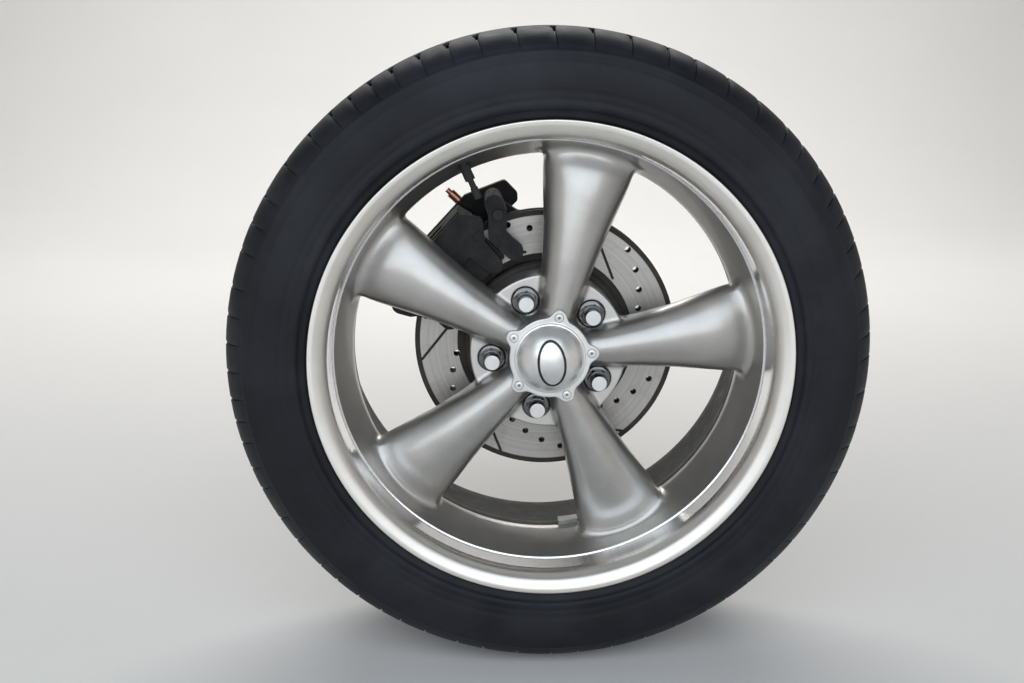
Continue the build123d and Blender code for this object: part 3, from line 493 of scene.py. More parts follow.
# How far a spoke goes into that wall
SPOKE_SUNK = 2.0

# Hub: bore, tube under the cap as radius and front, and the face that lies on the brake disc
BORE_RADIUS = 35.4
HUB_TUBE = (41.6, 43.5)
MOUNTING_FACE = 108.35
HUB_ROUNDING = 2.2
TUBE_FILLET = 4.0
SPOKE_FILLET = 6.0
FINE_ROUNDING = 1.0

# Nut pockets: circle of the bolts, pocket radius and depth, bolt hole
BOLT_CIRCLE = 60.325
NUT_POCKET = (14.6, 90.0)
POCKET_ROUNDING = 2.0
BOLT_HOLE = 8.0

# Spoke sections, half ovals on straight backs: distance from the axis, crown depth, edge depth,
# back depth, half width
SECTION_POWER = 2.0
BACK_ROUNDING = 6.0
SECTIONS = np.array([
    (30, 46.5, 71, 100, 19.0),
    (62, 45.5, 73, 96, 22.5),
    (100, 45.8, 76, 86, 28.0),
    (137, 47.6, 80, 84, 35.0),
    (172, 50.3, 84, 87, 43.0),
    (184, 51.8, 85, 89, 45.5),
    (194, 54.2, 86, 90, 47.2),
    (202, 57.4, 87, 91, 48.0),
    (209, 61.8, 88, 92, 46.5),
    (216, 67.5, 89, 93, 42.0),
    (223, 75.0, 91, 95, 34.0),
    (232, 86.0, 95, 97, 24.0),
])
# Fillets where a spoke meets the barrel, by depth
VALLEY_DEPTHS = (70.0, 87.0)
VALLEY_FILLETS = (17.0, 5.0)

# Net that the casting is made on: spans of radius and of depth as first, end and step, places
# round the axis, and the faces that are kept of it
NET_RADII = ((33.0, 84.5, 1.5), (85.6, 198, 2.3), (198, 231, 1.8))
NET_DEPTHS = (40.9, 112, 1.7)
NET_CLOCKS = 700
SPIDER_FACES = 92000


def spoke_sections():
    """The section table resampled every millimetre and eased, so that nothing kinks."""
    reach = 8
    fine = np.arange(SECTIONS[0, 0], SECTIONS[-1, 0] + 1)
    window = np.hanning(2 * reach + 1)
    window /= window.sum()
    columns = [fine]
    for values in SECTIONS.T[1:]:
        line = np.interp(fine, SECTIONS[:, 0], values)
        padded = np.pad(line, reach, mode="reflect", reflect_type="odd")
        columns.append(np.convolve(padded, window, mode="valid"))
    return columns


SPOKE_FINE = spoke_sections()


def least(a, b, blend):
    """Union of two distances with a fillet."""
    overlap = np.maximum(blend - np.abs(a - b), 0) / blend
    return np.minimum(a, b) - overlap * overlap * blend / 4


def most(a, b, blend):
    """Intersection of two distances with a rounded edge."""
    return -least(-a, -b, blend)


def band(value, low, high):
    """Distance to the range between two values."""
    return np.maximum(low - value, value - high)


def disc_distance(radius, depth, outer, front, back, rounding):
    """Distance to a solid disc with rounded edges."""
    x = radius - (outer - rounding)
    y = band(depth, front + rounding, back - rounding)
    outside = np.hypot(np.maximum(x, 0), np.maximum(y, 0))
    return outside + np.minimum(np.maximum(x, y), 0) - rounding


def spoke_distance(along, across, depth):
    """Distance to a spoke: the least reach and slope keep it finite along the spoke's own middle."""
    crown, edge, back, half = (np.interp(along, SPOKE_FINE[0], column) for column in SPOKE_FINE[1:])
    side = np.abs(across) / half
    front = np.maximum(edge - depth, 0) / (edge - crown)
    reach = np.maximum((side ** SECTION_POWER + front ** SECTION_POWER) ** (1 / SECTION_POWER), 0.2)
    slope = np.hypot(side ** (SECTION_POWER - 1) / half, front ** (SECTION_POWER - 1) / (edge - crown))
    slope = np.maximum(slope / reach ** (SECTION_POWER - 1), 0.5 / half)
    return most((reach - 1) / slope, depth - back, BACK_ROUNDING)


def barrel_distance(radius, depth):
    """Distance to the cone of the barrel, down to the outer edge of the windows."""
    step_radius, step_depth = STEP
    edge_radius, edge_depth = BARREL_EDGE
    lean = math.atan2(step_radius - edge_radius, edge_depth - step_depth)
    wall = (step_radius - radius) * math.cos(lean) - (depth - step_depth) * math.sin(lean)
    inner = most(wall, edge_radius - radius, blend=1.5)
    outer = -wall - BARREL_WALL
    return most(most(inner, outer, blend=0.5), band(depth, step_depth, BARREL_END), blend=0.8)


def spider_distance(points):
    """Distance in millimetres to the painted casting, at points (x, depth, z)."""
    x, depth, z = points.T
    radius = np.hypot(x, z)
    clock = np.mod(np.arctan2(x, z) - SPOKE_CLOCK + SECTOR / 2, SECTOR) - SECTOR / 2
    spoke = spoke_distance(radius * np.cos(clock), radius * np.sin(clock), depth)
    hub = disc_distance(radius, depth, *HUB_PAD, MOUNTING_FACE, HUB_ROUNDING)
    tube = disc_distance(radius, depth, *HUB_TUBE, MOUNTING_FACE, FINE_ROUNDING)
    whole = least(least(hub, tube, TUBE_FILLET), spoke, SPOKE_FILLET)
    whole = most(whole, BORE_RADIUS - radius, FINE_ROUNDING)
    bolt_clock = SECTOR / 2 - np.abs(clock)
    from_bolt = np.hypot(radius * np.cos(bolt_clock) - BOLT_CIRCLE, radius * np.sin(bolt_clock))
    pocket_radius, pocket_depth = NUT_POCKET
    pocket = most(from_bolt - pocket_radius, depth - pocket_depth, POCKET_ROUNDING)
    whole = most(whole, -least(pocket, from_bolt - BOLT_HOLE, FINE_ROUNDING), FINE_ROUNDING)
    step_radius, step_depth = STEP
    whole = np.maximum(whole, radius - (step_radius - (depth - step_depth) * BARREL_LEAN + SPOKE_SUNK))
    fillet = np.interp(depth, VALLEY_DEPTHS, VALLEY_FILLETS)
    return least(whole, barrel_distance(radius, depth), fillet)


def slope_of(distance, points, step=0.05):
    """Gradient of a distance function, by central differences."""
    parts = []
    for axis in range(3):
        shift = np.zeros(3)
        shift[axis] = step
        parts.append((distance(points + shift) - distance(points - shift)) / (2 * step))
    return np.stack(parts, axis=-1)


def pulled(points, distance, rounds, limit):
    """Points moved onto the surface where the distance is zero."""
    for _ in range(rounds):
        slope = slope_of(distance, points)
        steepness = np.maximum((slope ** 2).sum(axis=1), 0.05)
        step = distance(points) / steepness
        points = points - np.clip(step, -limit, limit)[:, None] * slope
    return points


def polar_net(distance, radii, clocks, depths):
    """Quad mesh round the surface where the distance is zero, on a grid of rings."""
    sector = clocks[:len(clocks) // SPOKES]
    r, a, s = np.meshgrid(radii, sector, depths, indexing="ij")
    points = np.stack([r * np.sin(a), s, r * np.cos(a)], axis=-1).reshape(-1, 3)
    inside = np.tile(distance(points).reshape(r.shape) < 0, (1, SPOKES, 1))
    corners = [inside]
    for axis in range(3):
        corners += [np.roll(corner, -1, axis) for corner in corners]
    mixed = np.any(corners, axis=0) & ~np.all(corners, axis=0)
    index = np.full(inside.shape, -1)
    index[mixed] = np.arange(mixed.sum())
    faces = []
    for axis in range(3):
        crossing = inside != np.roll(inside, -1, axis)
        one, two = [other for other in range(3) if other != axis]
        ring = [index, np.roll(index, 1, one), np.roll(index, 1, (one, two)), np.roll(index, 1, two)]
        quads = np.stack([part[crossing] for part in ring], axis=-1)
        turned = inside[crossing] == (axis == 1)
        quads[turned] = quads[turned][:, ::-1]
        faces.append(quads)
    i, j, k = np.nonzero(mixed)
    centre_r = (radii[i] + radii[i + 1]) / 2
    centre_s = (depths[k] + depths[k + 1]) / 2
    centre_a = clocks[j] + (clocks[1] - clocks[0]) / 2
    centres = np.stack([centre_r * np.sin(centre_a), centre_s, centre_r * np.cos(centre_a)], axis=-1)
    return centres, np.concatenate(faces)


def relaxed(points, faces, distance, rounds):
    """Evens out a net: its points go half way to their neighbours' mean, then back onto the surface."""
    edges = np.concatenate([faces[:, [0, 1]], faces[:, [1, 2]], faces[:, [2, 3]], faces[:, [3, 0]]])
    edges = np.concatenate([edges, edges[:, ::-1]])
    count = np.bincount(edges[:, 0], minlength=len(points))
    for _ in range(rounds):
        sums = [np.bincount(edges[:, 0], weights=points[edges[:, 1], axis], minlength=len(points))
                for axis in range(3)]
        points = points + 0.5 * (np.stack(sums, axis=-1) / count[:, None] - points)
        points = pulled(points, distance, rounds=2, limit=2.0)
    return points


def to_frame(points):
    """Points (x, depth, z) in millimetres to the frame's metres."""
    return points * MM + np.array([0, LIP_Y, 0])


def from_frame(mesh):
    """A mesh's vertices as (x, depth, z) in millimetres."""
    flat = np.zeros(len(mesh.vertices) * 3)
    mesh.vertices.foreach_get("co", flat)
    return (flat.reshape(-1, 3) - np.array([0, LIP_Y, 0])) / MM


def make_spider():
    """Hub, spokes and the front of the barrel, as one casting."""
    radii = np.concatenate([np.arange(*span) for span in NET_RADII])
    clocks = SPOKE_CLOCK - SECTOR / 2 + np.arange(NET_CLOCKS) * 2 * math.pi / NET_CLOCKS
    depths = np.arange(*NET_DEPTHS)
    points, faces = polar_net(spider_distance, radii, clocks, depths)
    points = pulled(points, spider_distance, rounds=5, limit=2.0)
    points = relaxed(points, faces, spider_distance, rounds=3)
    spider = new_object("wheel_spider", to_frame(points), faces.tolist(), "paint", TURNING,
                        smooth=180, replaces=["alloy_wheel"])
    collapse = spider.modifiers.new("fewer faces", "DECIMATE")
    collapse.ratio = min(1.0, SPIDER_FACES / len(faces))
    baked(spider)
    mesh = spider.data
    points = pulled(from_frame(mesh), spider_distance, rounds=3, limit=1.0)
    mesh.vertices.foreach_set("co", to_frame(points).ravel())
    mesh.update()
    slope = slope_of(spider_distance, points)
    normals = slope / np.linalg.norm(slope, axis=1)[:, None]
    mesh.normals_split_custom_set_from_vertices(normals.tolist())


make_spider()


# Rim: machined lip, and the barrel that carries the tyre, as rows of (radius, depth, fillet)

RIM_COLUMNS = 256
LIP_SECTION = (
    (246, 0, 1.6), (241, 0.5, 6), (232, 4.4, 12), (227.2, 13, 9), (226.0, 22, 4), (224.6, 42.0, 0.4),
    (222.9, 42.7, 0.4), (222.4, 43.8, 0.4), (227.6, 44.5, 0), (231, 35, 0), (231, 16, 1),
    (233.5, 12.9, 2), (243, 12.9, 2), (246, 9, 2),
)
BARREL_SECTION = (
    (225.6, 44.2, 0), (208.6, 89.5, 0.5), (206.5, 91.5, 0.8), (206.5, 104, 30), (221.5, 135, 40),
    (222.5, 190, 40), (224, 208, 20), (235, 219, 8), (240, 228.2, 3), (246, 229, 1.5), (246, 218, 2),
    (243, 216.1, 2), (233.5, 216.1, 3), (231, 213, 2), (231, 194, 6), (228.5, 184, 10), (227, 132, 30),
    (212.5, 108, 20), (212.5, 91, 20), (228.3, 43.6, 0),
)
RIM_PIECES = (("polished_lip", LIP_SECTION, "lip"), ("rim_barrel", BARREL_SECTION, "barrel"))


def make_rim():
    """The lip with its own finish, and the barrel behind it in dull black, partly painted shade."""
    for name, section, look in RIM_PIECES:
        vertices, faces = lathe(rounded(section), RIM_COLUMNS)
        new_object(name, vertices, faces, look, TURNING, smooth=30)


make_rim()


# Tyre

# Outboard sidewall from its bead to the edge of the tread, as radius and depth; the far side mirrors it
SIDEWALL = [
    (236, 13.2), (243.5, 13.0), (246.4, 10.5), (246.7, 7.0), (248.8, 4.8), (252.2, 3.6), (254.8, 1.8),
    (256.4, -0.9), (258.6, -1.8), (264, -1.2), (274, -1.9), (285, -2.6), (296, -1.8), (306, 1.2),
    (314.5, 6.6), (321, 13.0), (326, 20.0), (329.6, 28.0), (331.8, 37.0), (332.9, 48.0),
]
TYRE_WIDTH = 229.0
# Inside of the tyre from the inboard bead to the outboard one, as radius and depth
TYRE_LINER = np.array([
    (236, 200), (250, 217), (286, 222.5), (312, 211), (321, 180),
    (321, 49), (312, 18), (286, 6.5), (250, 12), (236, 29),
])

# Tread: radius at its middle, how far it falls to its edge, and where its rows start
TYRE_RADIUS = 334.3
CROWN_DROP = 1.35
TREAD_EDGE = SIDEWALL[-1][1]
CROWN_START = TREAD_EDGE + 1.5
# Grooves round the tread: places from its middle, and their section as place across and drop
GROOVES = (-60.0, -20.0, 20.0, 60.0)
GROOVE_SECTION = (
    (-5.6, 0), (-4.6, 0.4), (-3.9, 5.6), (-3.0, 7), (3.0, 7), (3.9, 5.6), (4.6, 0.4), (5.6, 0),
)
# The tread is in a groove below this radius
GROOVE_RADIUS = 331.0
# Rows on the ribs between the grooves, from the tread's middle, and how far the middle ribs reach
RIB_ROWS = (-71.0, -49.0, -42.0, -35.0, -28.0, -9.0, 0.0, 9.0, 28.0, 35.0, 42.0, 49.0, 71.0)
MIDDLE_RIBS = 56.0

# Raised rings on the sidewall: radius, width, height
SIDEWALL_RINGS = ((261.5, 4.0, 0.6), (268.0, 3.4, 0.4), (309.5, 4.0, 0.6))
# Raised band on the sidewall: radii, width of its sloped edges, height
SIDEWALL_BAND = (274.0, 302.0)
BAND_EDGE = 2.0
BAND_HEIGHT = 0.5

# Notches of the shoulder: radius, depth, share of their full width
NOTCH = np.array([
    (311.0, 0.0, 0.08),
    (318.0, 1.3, 0.20),
    (326.0, 2.2, 0.32),
    (330.0, 3.0, 0.50),
    (332.4, 5.0, 1.0),
])
# Columns of a notch: place across it as a share of its half width, share of its depth
NOTCH_COLUMNS = ((-1.3, 0), (-1.0, 0.1), (-0.5, 1), (0.5, 1), (1.0, 0.1), (1.3, 0))
# In radians: half a notch's width, its lean down the sidewall, its lean a millimetre across the tread
NOTCH_HALF = 0.0105
NOTCH_LEAN = 0.011
TREAD_LEAN = 0.0009
# Cuts across the middle ribs: depth, share of a notch's width
SIPE_DEPTH = 3.2
SIPE_WIDTH = 0.5
# Notches round the tyre, and the lengths that their pitches are drawn from
TREAD_PITCHES = 66
PITCH_LENGTHS = (0.82, 1.0, 1.28)
TYRE_SEED = 4


def ridge(value, centre, width, height):
    """A low rounded ridge across a range of values."""
    return height * np.clip(1 - ((value - centre) / (width / 2)) ** 2, 0, None)


def step_up(value, start, end):
    """0 before the start and 1 after the end, eased between them."""
    t = np.clip((value - start) / (end - start), 0, 1)
    return t * t * (3 - 2 * t)


def tyre_rows():
    """Rows of the outer surface from outboard bead to inboard bead, as radius and depth.

    The numbers of rows on the outboard sidewall and on the tread come with them.
    """
    side = curve_through(SIDEWALL, 1.6)
    middle = TYRE_WIDTH / 2
    tread = []
    for groove in GROOVES:
        for offset, drop in GROOVE_SECTION:
            tread.append((middle + groove + offset, drop))
    for rib in RIB_ROWS:
        tread.append((middle + rib, 0))
    tread.sort()
    crown = []
    for depth, drop in tread:
        fall = CROWN_DROP * ((depth - middle) / (middle - TREAD_EDGE)) ** 2
        if CROWN_START < depth < TYRE_WIDTH - CROWN_START:
            crown.append((TYRE_RADIUS - fall - drop, depth))
    far = curve_through(SIDEWALL, 4.0)[::-1] * (1, -1) + (0, TYRE_WIDTH)
    return np.vstack([side, crown, far]), len(side), len(crown)


def tyre_columns(generator):
    """Columns of the tread, nine a pitch: clock of the notch, place across it and share of its depth."""
    pitches = generator.choice(PITCH_LENGTHS, TREAD_PITCHES)
    pitches *= 2 * math.pi / pitches.sum()
    starts = np.concatenate([[0], np.cumsum(pitches)[:-1]])
    notch = [(place * NOTCH_HALF, share) for place, share in NOTCH_COLUMNS]
    columns = []
    for start, pitch in zip(starts, pitches):
        columns += [(start, offset, share) for offset, share in notch]
        rest = np.linspace(notch[-1][0], pitch + notch[0][0], 5)[1:-1]
        columns += [(start + offset, 0, 0) for offset in rest]
    return np.array(columns).T


def make_tyre():
    """Closed skin of the tyre, its notches and cuts pressed into the outer surface."""
    rows, side_count, crown_count = tyre_rows()
    starts, across, notch = tyre_columns(np.random.default_rng(TYRE_SEED))
    radius, depth = rows.T
    tangent = np.gradient(rows, axis=0)
    normal = np.stack([tangent[:, 1], -tangent[:, 0]], axis=-1)
    normal /= np.linalg.norm(normal, axis=1)[:, None]
    order = np.arange(len(rows))
    on_wall = (order < side_count) | (order >= side_count + crown_count)
    raised = sum(ridge(radius, centre, width, height) for centre, width, height in SIDEWALL_RINGS)
    low, high = SIDEWALL_BAND
    rising = step_up(radius, low, low + BAND_EDGE)
    raised += BAND_HEIGHT * rising * (1 - step_up(radius, high - BAND_EDGE, high))
    rows = rows + normal * (raised * on_wall)[:, None]
    middle = TYRE_WIDTH / 2
    from_edge = middle - np.abs(depth - middle)
    cut = np.interp(radius, NOTCH[:, 0], NOTCH[:, 1])
    on_middle_ribs = (np.abs(depth - middle) < MIDDLE_RIBS) & ~on_wall
    cut = np.where(on_middle_ribs, SIPE_DEPTH, cut)
    in_groove = (radius < GROOVE_RADIUS) & ~on_wall
    cut = np.where(in_groove, 0.0, cut)
    toward_rim = np.clip((NOTCH[-1, 0] - radius) / (NOTCH[-1, 0] - NOTCH[0, 0]), 0, 1)
    slant = np.where(on_wall, NOTCH_LEAN * toward_rim, TREAD_LEAN * (from_edge - TREAD_EDGE))
    slant = np.where(depth > middle, -slant, slant)
    taper = np.where(on_wall, np.interp(radius, NOTCH[:, 0], NOTCH[:, 2]), SIPE_WIDTH)
    sheared = starts[None, :] + across[None, :] * taper[:, None] + slant[:, None]
    place = rows[:, None, :] - normal[:, None, :] * (cut[:, None] * notch[None, :])[..., None]
    outer = ring_points(place[..., 0], place[..., 1], sheared)
    inner = ring_points(TYRE_LINER[:, :1], TYRE_LINER[:, 1:], (starts + across)[None, :])
    vertices = np.concatenate([outer, inner]).reshape(-1, 3)
    faces = grid_faces(len(outer) + len(inner), len(starts), True)
    new_object("tyre_body", vertices, faces, "tyre", TURNING, smooth=38, replaces=["tyre"])


make_tyre()


# Centre cap, its screws and the wheel nuts

# Plate of the cap, with its ears for the screws
CAP_COLUMNS = 480
CAP_RADIUS = 42.2
EAR_CIRCLE = 43.4
EAR_RADIUS = 7.8
EAR_FILLET = 7.0
EAR_CLOCKS = SPOKE_CLOCK + SECTOR * np.arange(SPOKES)
BOLT_CLOCKS = EAR_CLOCKS + SECTOR / 2
# Edge of the plate, back to front: distance inside the outline, depth
CAP_FRONT = 40.0
CAP_EDGE = ((1.2, 43.0), (0, 42.6), (0, 41.0), (0.25, 40.5), (0.9, 40.05), (1.6, CAP_FRONT))
# Step down round the dome, as radius and depth, where the plate's flat front ends
FLAT_END = 37.6
CAP_STEP = (
    (37.2, 39.9), (36.9, 39.6), (36.6, 39.0), (36.2, 38.65), (35.6, 38.5), (35.0, 38.35), (34.6, 37.9),
)

# Dome: part of a ball through its edge, as radius and depth, and its top's depth
DOME_EDGE = (35.0, 38.4)
DOME_TOP = 17.5
DOME_RISE = DOME_EDGE[1] - DOME_TOP
DOME_BALL = (DOME_EDGE[0] ** 2 + DOME_RISE ** 2) / (2 * DOME_RISE)
DOME_RADII = (*np.linspace(34.2, 5, 24), 3.2, 1.6)

# Oval line on the dome: half width and half height, centre as (x, z), turn
OVAL_COLUMNS = 160
OVAL_AXES = (13.6, 24.0)
OVAL_CENTRE = (0.6, -1.8)
OVAL_TURN = math.radians(5.5)
# Section of the line: place across it, lift off the dome
OVAL_SECTION = ((-1.25, -0.4), (-1.25, 0.26), (-1.0, 0.42), (1.0, 0.42), (1.25, 0.26), (1.25, -0.4))
# Blank plate inside the line: its edge across the line, lift of its skirt and of its face, and its rings
PLATE_EDGE = -1.1
PLATE_SKIRT = -0.3
PLATE_LIFT = 0.1
PLATE_SHARES = (1.0, 0.99, 0.85, 0.65, 0.45, 0.25, 0.08)

# Sections of the wheel nuts and the cap's screws from the back round the front, as radius and depth
NUT_APOTHEM = 9.9
NUT_TURN = math.radians(2)
NUT_BODY = (
    (9, 89.7), (11.2, 89.7), (11.5, 89), (11.5, 61.2), (10.9, 60.3), (10.1, 59.4), (9.7, 59.1), (9.3, 59.0),
    (9.0, 59.3), (8.6, 59.3), (8.25, 58.9), (8.25, 48.0), (8.1, 47.3), (7.7, 46.95), (5.0, 46.9), (1.0, 46.9),
)
NUT_COLLAR = (
    (10.0, 72.0), (13.6, 72.0), (13.9, 71.7), (13.9, 68.0), (13.6, 67.3), (13.0, 66.9), (11.8, 66.5),
    (9.0, 66.3),
)
NUT_END = ((7.8, 46.95), (7.8, 46.75), (7.5, 46.55), (3.5, 46.5), (0.8, 46.5))
SCREW_HEAD = (
    (3.0, 40.8), (4.1, 40.6), (4.2, 40.1), (4.2, 39.75), (4.0, 39.5), (3.3, 39.4), (3.1, 39.5), (2.9, 39.4),
    (1.75, 39.4), (1.6, 39.5), (1.6, 40.4), (0.4, 40.4),
)
# Socket of each screw, shallow and dark: painted shade inside the hex hole
SCREW_SOCKET = ((1.65, 40.3), (1.5, 40.0), (1.1, 39.95), (0.2, 40.1))
# Thin dark ring lying on the cap round each screw head: painted shadow of the gap under the head
SCREW_PAINTED_SHADOW = ((4.15, 40.3), (4.75, 40.05), (4.8, 39.95), (4.2, 39.9))


def dome_depth(radius):
    """Depth of the dome's surface at a radius."""
    return DOME_TOP + DOME_BALL - np.sqrt(DOME_BALL ** 2 - radius ** 2)


def cap_outline(clocks):
    """Radius of the cap's edge, by halving: a disc with an ear over each spoke, joined by fillets."""
    low = np.full(clocks.shape, 30.0)
    high = np.full(clocks.shape, 60.0)
    away = np.mod(clocks - SPOKE_CLOCK + SECTOR / 2, SECTOR) - SECTOR / 2
    for _ in range(30):
        middle = (low + high) / 2
        ear = np.hypot(middle * np.cos(away) - EAR_CIRCLE, middle * np.sin(away)) - EAR_RADIUS
        inside = least(ear, middle - CAP_RADIUS, EAR_FILLET) < 0
        low = np.where(inside, middle, low)
        high = np.where(inside, high, middle)
    return low


def make_cap():
    """Plate with five ears, stepped round its dome."""
    clocks = np.linspace(0, 2 * math.pi, CAP_COLUMNS, endpoint=False)
    edge = cap_outline(clocks)
    rows = [(edge - inset, depth) for inset, depth in CAP_EDGE]
    flat_start = rows[-1][0]
    for t in np.linspace(0, 1, 5)[1:]:
        rows.append(((1 - t) * flat_start + t * FLAT_END, CAP_FRONT))
    rows += CAP_STEP
    rows += [(radius, dome_depth(radius)) for radius in DOME_RADII]
    vertices = np.concatenate([ring_points(radius, depth, clocks) for radius, depth in rows])
    faces = grid_faces(len(rows), CAP_COLUMNS, False)
    faces += [ring_face(len(rows) - 1, CAP_COLUMNS), ring_face(0, CAP_COLUMNS)[::-1]]
    new_object("centre_cap_shell", vertices, faces, "cap", TURNING, smooth=25,
               replaces=["centre_cap"])


def turned_at(name, profile, columns, radius, clocks, look, slot, outline=None, smooth=30.0, replaces=()):
    """Copies of a small turned piece at places on a circle, as one mesh closed at both ends.

    The profile is rows of (radius, depth); an outline gives the largest radius at a local angle.
    """
    local = np.linspace(0, 2 * math.pi, columns, endpoint=False)
    one = grid_faces(len(profile), columns, False)
    one += [ring_face(0, columns)[::-1], ring_face(len(profile) - 1, columns)]
    parts = []
    faces = []
    for clock in clocks:
        centre = np.array([radius * math.sin(clock), radius * math.cos(clock)])
        base = len(parts) * len(profile) * columns
        rows = []
        for reach, depth in profile:
            own = np.minimum(reach, outline(local - clock)) if outline else reach
            x = centre[0] + own * np.sin(local)
            z = centre[1] + own * np.cos(local)
            rows.append(np.stack([x * MM, np.full(columns, at(depth)), z * MM], axis=-1))
        parts.append(np.array(rows).reshape(-1, 3))
        faces += [tuple(base + v for v in face) for face in one]
    new_object(name, np.concatenate(parts), faces, look, TURNING, smooth, replaces)


def hexagon(apothem, turn):
    """Outline of a hexagon, as a radius by local angle."""
    def outline(angle):
        wedge = np.mod(angle - turn + math.pi / 6, math.pi / 3) - math.pi / 6
        return apothem / np.cos(wedge)
    return outline


def make_small_turned():
    """Wheel nuts and the cap's screws, with a painted shadow ring round each screw's head and painted shade
    in its socket.
    """
    nuts = (BOLT_CIRCLE, BOLT_CLOCKS)
    screws = (EAR_CIRCLE, EAR_CLOCKS)
    turned_at("nut_bodies", NUT_BODY, 96, *nuts, "chrome", "nut_chrome",
              outline=hexagon(NUT_APOTHEM, NUT_TURN), smooth=22, replaces=["lug_nuts"])
    turned_at("nut_collars", NUT_COLLAR, 64, *nuts, "chrome", "nut_chrome")
    turned_at("nut_ends", NUT_END, 48, *nuts, "nut_end", "nut_chrome")
    turned_at("cap_screw_heads", SCREW_HEAD, 36, *screws, "cap", "screw_steel", replaces=["cap_screws"])
    turned_at("cap_screw_sockets", SCREW_SOCKET, 24, *screws, "socket", "screw_steel")
    turned_at("cap_screw_painted_shadows", SCREW_PAINTED_SHADOW, 36, *screws, "seat", "cap_metal")


def oval_points(t, offset, share=1.0):
    """Points of the oval, moved outward by an offset and shrunk toward its centre by a share."""
    wide, tall = OVAL_AXES
    out = np.stack([tall * np.cos(t), wide * np.sin(t)], axis=-1)
    out /= np.linalg.norm(out, axis=1)[:, None]
    own = (np.stack([wide * np.cos(t), tall * np.sin(t)], axis=-1) + out * offset) * share
    cos, sin = math.cos(OVAL_TURN), math.sin(OVAL_TURN)
    return own @ np.array([[cos, sin], [-sin, cos]]) + OVAL_CENTRE


def on_dome(points, lift):
    """Points in metres, lifted off the cap's dome by millimetres."""
    x, z = points.T
    return np.stack([x * MM, at(dome_depth(np.hypot(x, z)) - lift), z * MM], axis=-1)


def make_oval():
    """Dark oval line on the cap's dome, round a blank satin plate."""
    t = np.linspace(0, 2 * math.pi, OVAL_COLUMNS, endpoint=False)
    line = [on_dome(oval_points(t, offset), lift) for offset, lift in OVAL_SECTION]
    new_object("cap_oval_line", np.concatenate(line), grid_faces(len(line), OVAL_COLUMNS, True), "oval",
               TURNING, smooth=40)
    plate = [on_dome(oval_points(t, PLATE_EDGE), PLATE_SKIRT)]
    plate += [on_dome(oval_points(t, PLATE_EDGE, share), PLATE_LIFT) for share in PLATE_SHARES]
    faces = grid_faces(len(plate), OVAL_COLUMNS, False)
    faces.append(ring_face(len(plate) - 1, OVAL_COLUMNS))
    new_object("cap_oval_plate", np.concatenate(plate), faces, "cap_plate", TURNING, smooth=40)


make_cap()
make_small_turned()
make_oval()


# Nodes kept from the CAD model: their look, and the width of their rounded edges in millimetres

KEPT = {
    "wheel_studs": ("steel", 0.4),
    "valve_stem": ("rubber", 0.3),
    "balance_weight": ("weight", 0.6),
    "brake_disc": ("disc", 0.4),
    "axle_shaft": ("forged", 0.6),
    "bearing_inner_ring": ("steel", 0.5),
    "bearing_lock_ring": ("steel", 0.5),
    "bearing_outer_ring": ("steel", 0.6),
    "bearing_retainer": ("black", 0.8),
    "caliper_bracket": ("black", 0.8),
    "caliper_anchor": ("cast_black", 1.5),
    "anchor_bolts": ("black", 0.5),
    "pad_linings": ("lining", 0.4),
    "pad_backings": ("black", 0.5),
    "caliper_body": ("cast_black", 1.8),
    "caliper_piston": ("steel", 0.6),
    "guide_pins": ("black", 0.4),
    "guide_boots": ("rubber", 0.6),
    "bleed_screw": ("copper", 0.3),
    "hose_fitting": ("copper", 0.4),
}

for name, (look, width) in KEPT.items():
    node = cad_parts[name]
    node.data.materials.clear()
    node.data.materials.append(LOOKS[look])
    rounded_edges(node, width)


# Stage, light and camera

# Camera: place in metres, pan from +Y towards +X and tilt upward in radians, lens and sensor in millimetres
CAMERA_PLACE = Vector((-0.08266, -1.33793, 0.31788))
CAMERA_PAN = 0.035952
CAMERA_TILT = -0.244958
CAMERA_LENS = 42.2
SENSOR_WIDTH = 36

# Colours of the room by height above the horizon, from 0 at the horizon to 1 overhead
SKY = (
    (0.0, (0.78, 0.73, 0.67)),
    (0.16, (0.56, 0.54, 0.52)),
    (0.45, (0.26, 0.27, 0.29)),
    (0.75, (0.07, 0.075, 0.085)),
)
SKY_STRENGTH = 1.0

# Softboxes: name, place, target, width and height in metres, watts, colour
LAMPS = (
    ("key", (-0.25, -2.6, 1.5), (0, 0, 0), (4.4, 3.0), 68, (0.81, 0.90, 1.0)),
    ("rear", (0, 2.4, 2.6), (0, 0.2, -0.33), (3.4, 0.7), 68, (1.0, 0.99, 0.97)),
    ("backdrop", (0, 1.6, 2.4), (0, 4.5, 0.7), (3.4, 0.5), 46, (1.0, 0.99, 0.97)),
)


def floor_material():
    """Warm white floor with faint clouds."""
    s = Surface("studio_floor", (0.80, 0.785, 0.76), Roughness=0.75)
    place = s.place()
    cloud = s.noise(place, 1.2, 5.0)
    fine = s.noise(place, 60.0, 4.0)
    s.feed("Base Color", s.mix(fine, s.ramp(cloud, (0.3, (0.77, 0.755, 0.73)), (0.7, (0.83, 0.815, 0.79))),
                               (0.81, 0.795, 0.77)))
    s.feed("Normal", s.bump(fine, 0.05, 0.0005))
    return s.material


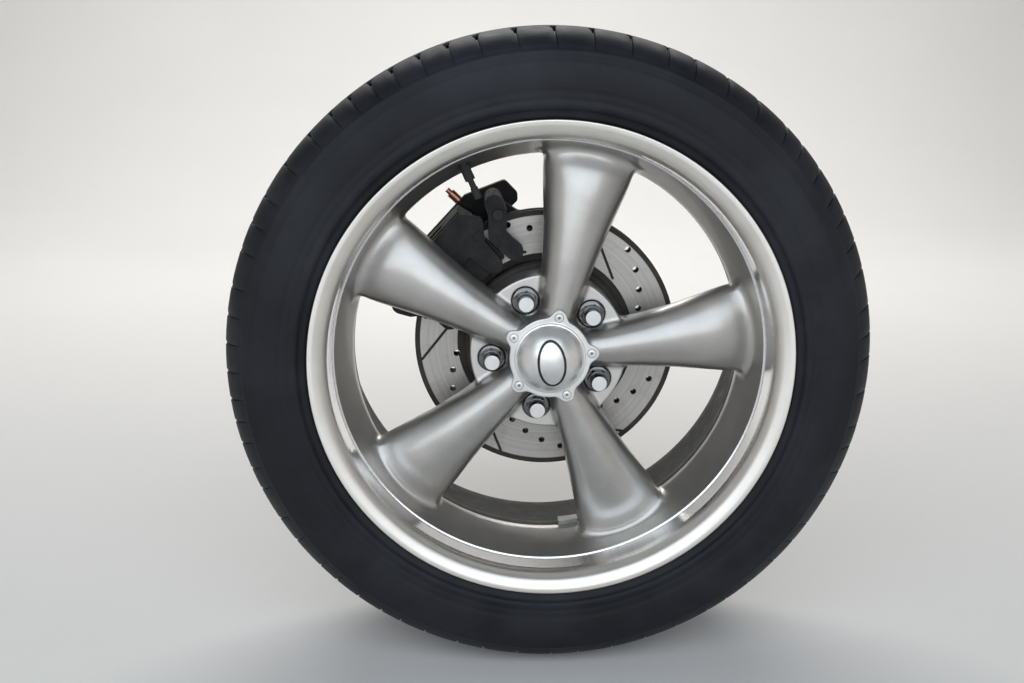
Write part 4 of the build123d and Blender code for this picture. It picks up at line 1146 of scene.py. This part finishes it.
def make_stage():
    """Floor that bends up into a backdrop, its sizes in metres."""
    half_width, front, wall, height, bend = 9.0, -7.0, 4.5, 5.0, 2.0
    steps = 12
    section = [(front, FLOOR_Z)]
    for step in range(steps + 1):
        angle = math.pi / 2 * step / steps
        section.append((wall - bend + bend * math.sin(angle), FLOOR_Z + bend - bend * math.cos(angle)))
    section.append((wall, FLOOR_Z + height))
    vertices = [(side * half_width, y, z) for y, z in section for side in (-1, 1)]
    faces = [(2 * k, 2 * k + 1, 2 * k + 3, 2 * k + 2) for k in range(len(section) - 1)]
    mesh = bpy.data.meshes.new("studio_sweep")
    mesh.from_pydata(vertices, [], faces)
    mesh.polygons.foreach_set("use_smooth", [True] * len(mesh.polygons))
    mesh.materials.append(floor_material())
    sweep = bpy.data.objects.new("studio_sweep", mesh)
    bpy.context.scene.collection.objects.link(sweep)


def lamp(name, place, target, size, energy, colour):
    """Rectangular soft light aimed at a point."""
    data = bpy.data.lights.new(name, "AREA")
    data.shape = "RECTANGLE"
    data.size, data.size_y = size
    data.energy = energy
    data.color = colour
    light = bpy.data.objects.new(name, data)
    bpy.context.scene.collection.objects.link(light)
    light.location = place
    light.rotation_euler = (Vector(target) - Vector(place)).to_track_quat("-Z", "Y").to_euler()


def make_world():
    """Warm and pale at the horizon, greyer above it and cool overhead."""
    world = bpy.data.worlds.new("studio_world")
    bpy.context.scene.world = world
    world.use_nodes = True
    tree = world.node_tree
    direction = tree.nodes.new("ShaderNodeTexCoord")
    split = tree.nodes.new("ShaderNodeSeparateXYZ")
    ramp = tree.nodes.new("ShaderNodeValToRGB")
    tree.links.new(direction.outputs["Generated"], split.inputs[0])
    tree.links.new(split.outputs[2], ramp.inputs[0])
    stops = ramp.color_ramp.elements
    while len(stops) < len(SKY):
        stops.new(0.5)
    for stop, (position, colour) in zip(stops, SKY):
        stop.position = position
        stop.color = (*colour, 1)
    tree.links.new(ramp.outputs[0], tree.nodes["Background"].inputs["Color"])
    tree.nodes["Background"].inputs["Strength"].default_value = SKY_STRENGTH


def make_camera():
    """Camera that frames the wheel as the photograph does."""
    data = bpy.data.cameras.new("photo_camera")
    data.lens = CAMERA_LENS
    data.sensor_width = SENSOR_WIDTH
    data.sensor_fit = "HORIZONTAL"
    camera = bpy.data.objects.new("photo_camera", data)
    bpy.context.scene.collection.objects.link(camera)
    level = math.cos(CAMERA_TILT)
    forward = Vector((math.sin(CAMERA_PAN) * level, math.cos(CAMERA_PAN) * level, math.sin(CAMERA_TILT)))
    right = Vector((math.cos(CAMERA_PAN), -math.sin(CAMERA_PAN), 0))
    turned = Matrix((right, right.cross(forward), -forward)).transposed().to_4x4()
    camera.matrix_world = Matrix.Translation(CAMERA_PLACE) @ turned
    bpy.context.scene.camera = camera


make_stage()
make_world()
make_camera()
for row in LAMPS:
    lamp(*row)
bpy.context.scene.view_settings.view_transform = "Standard"

bpy.context.view_layer.update()
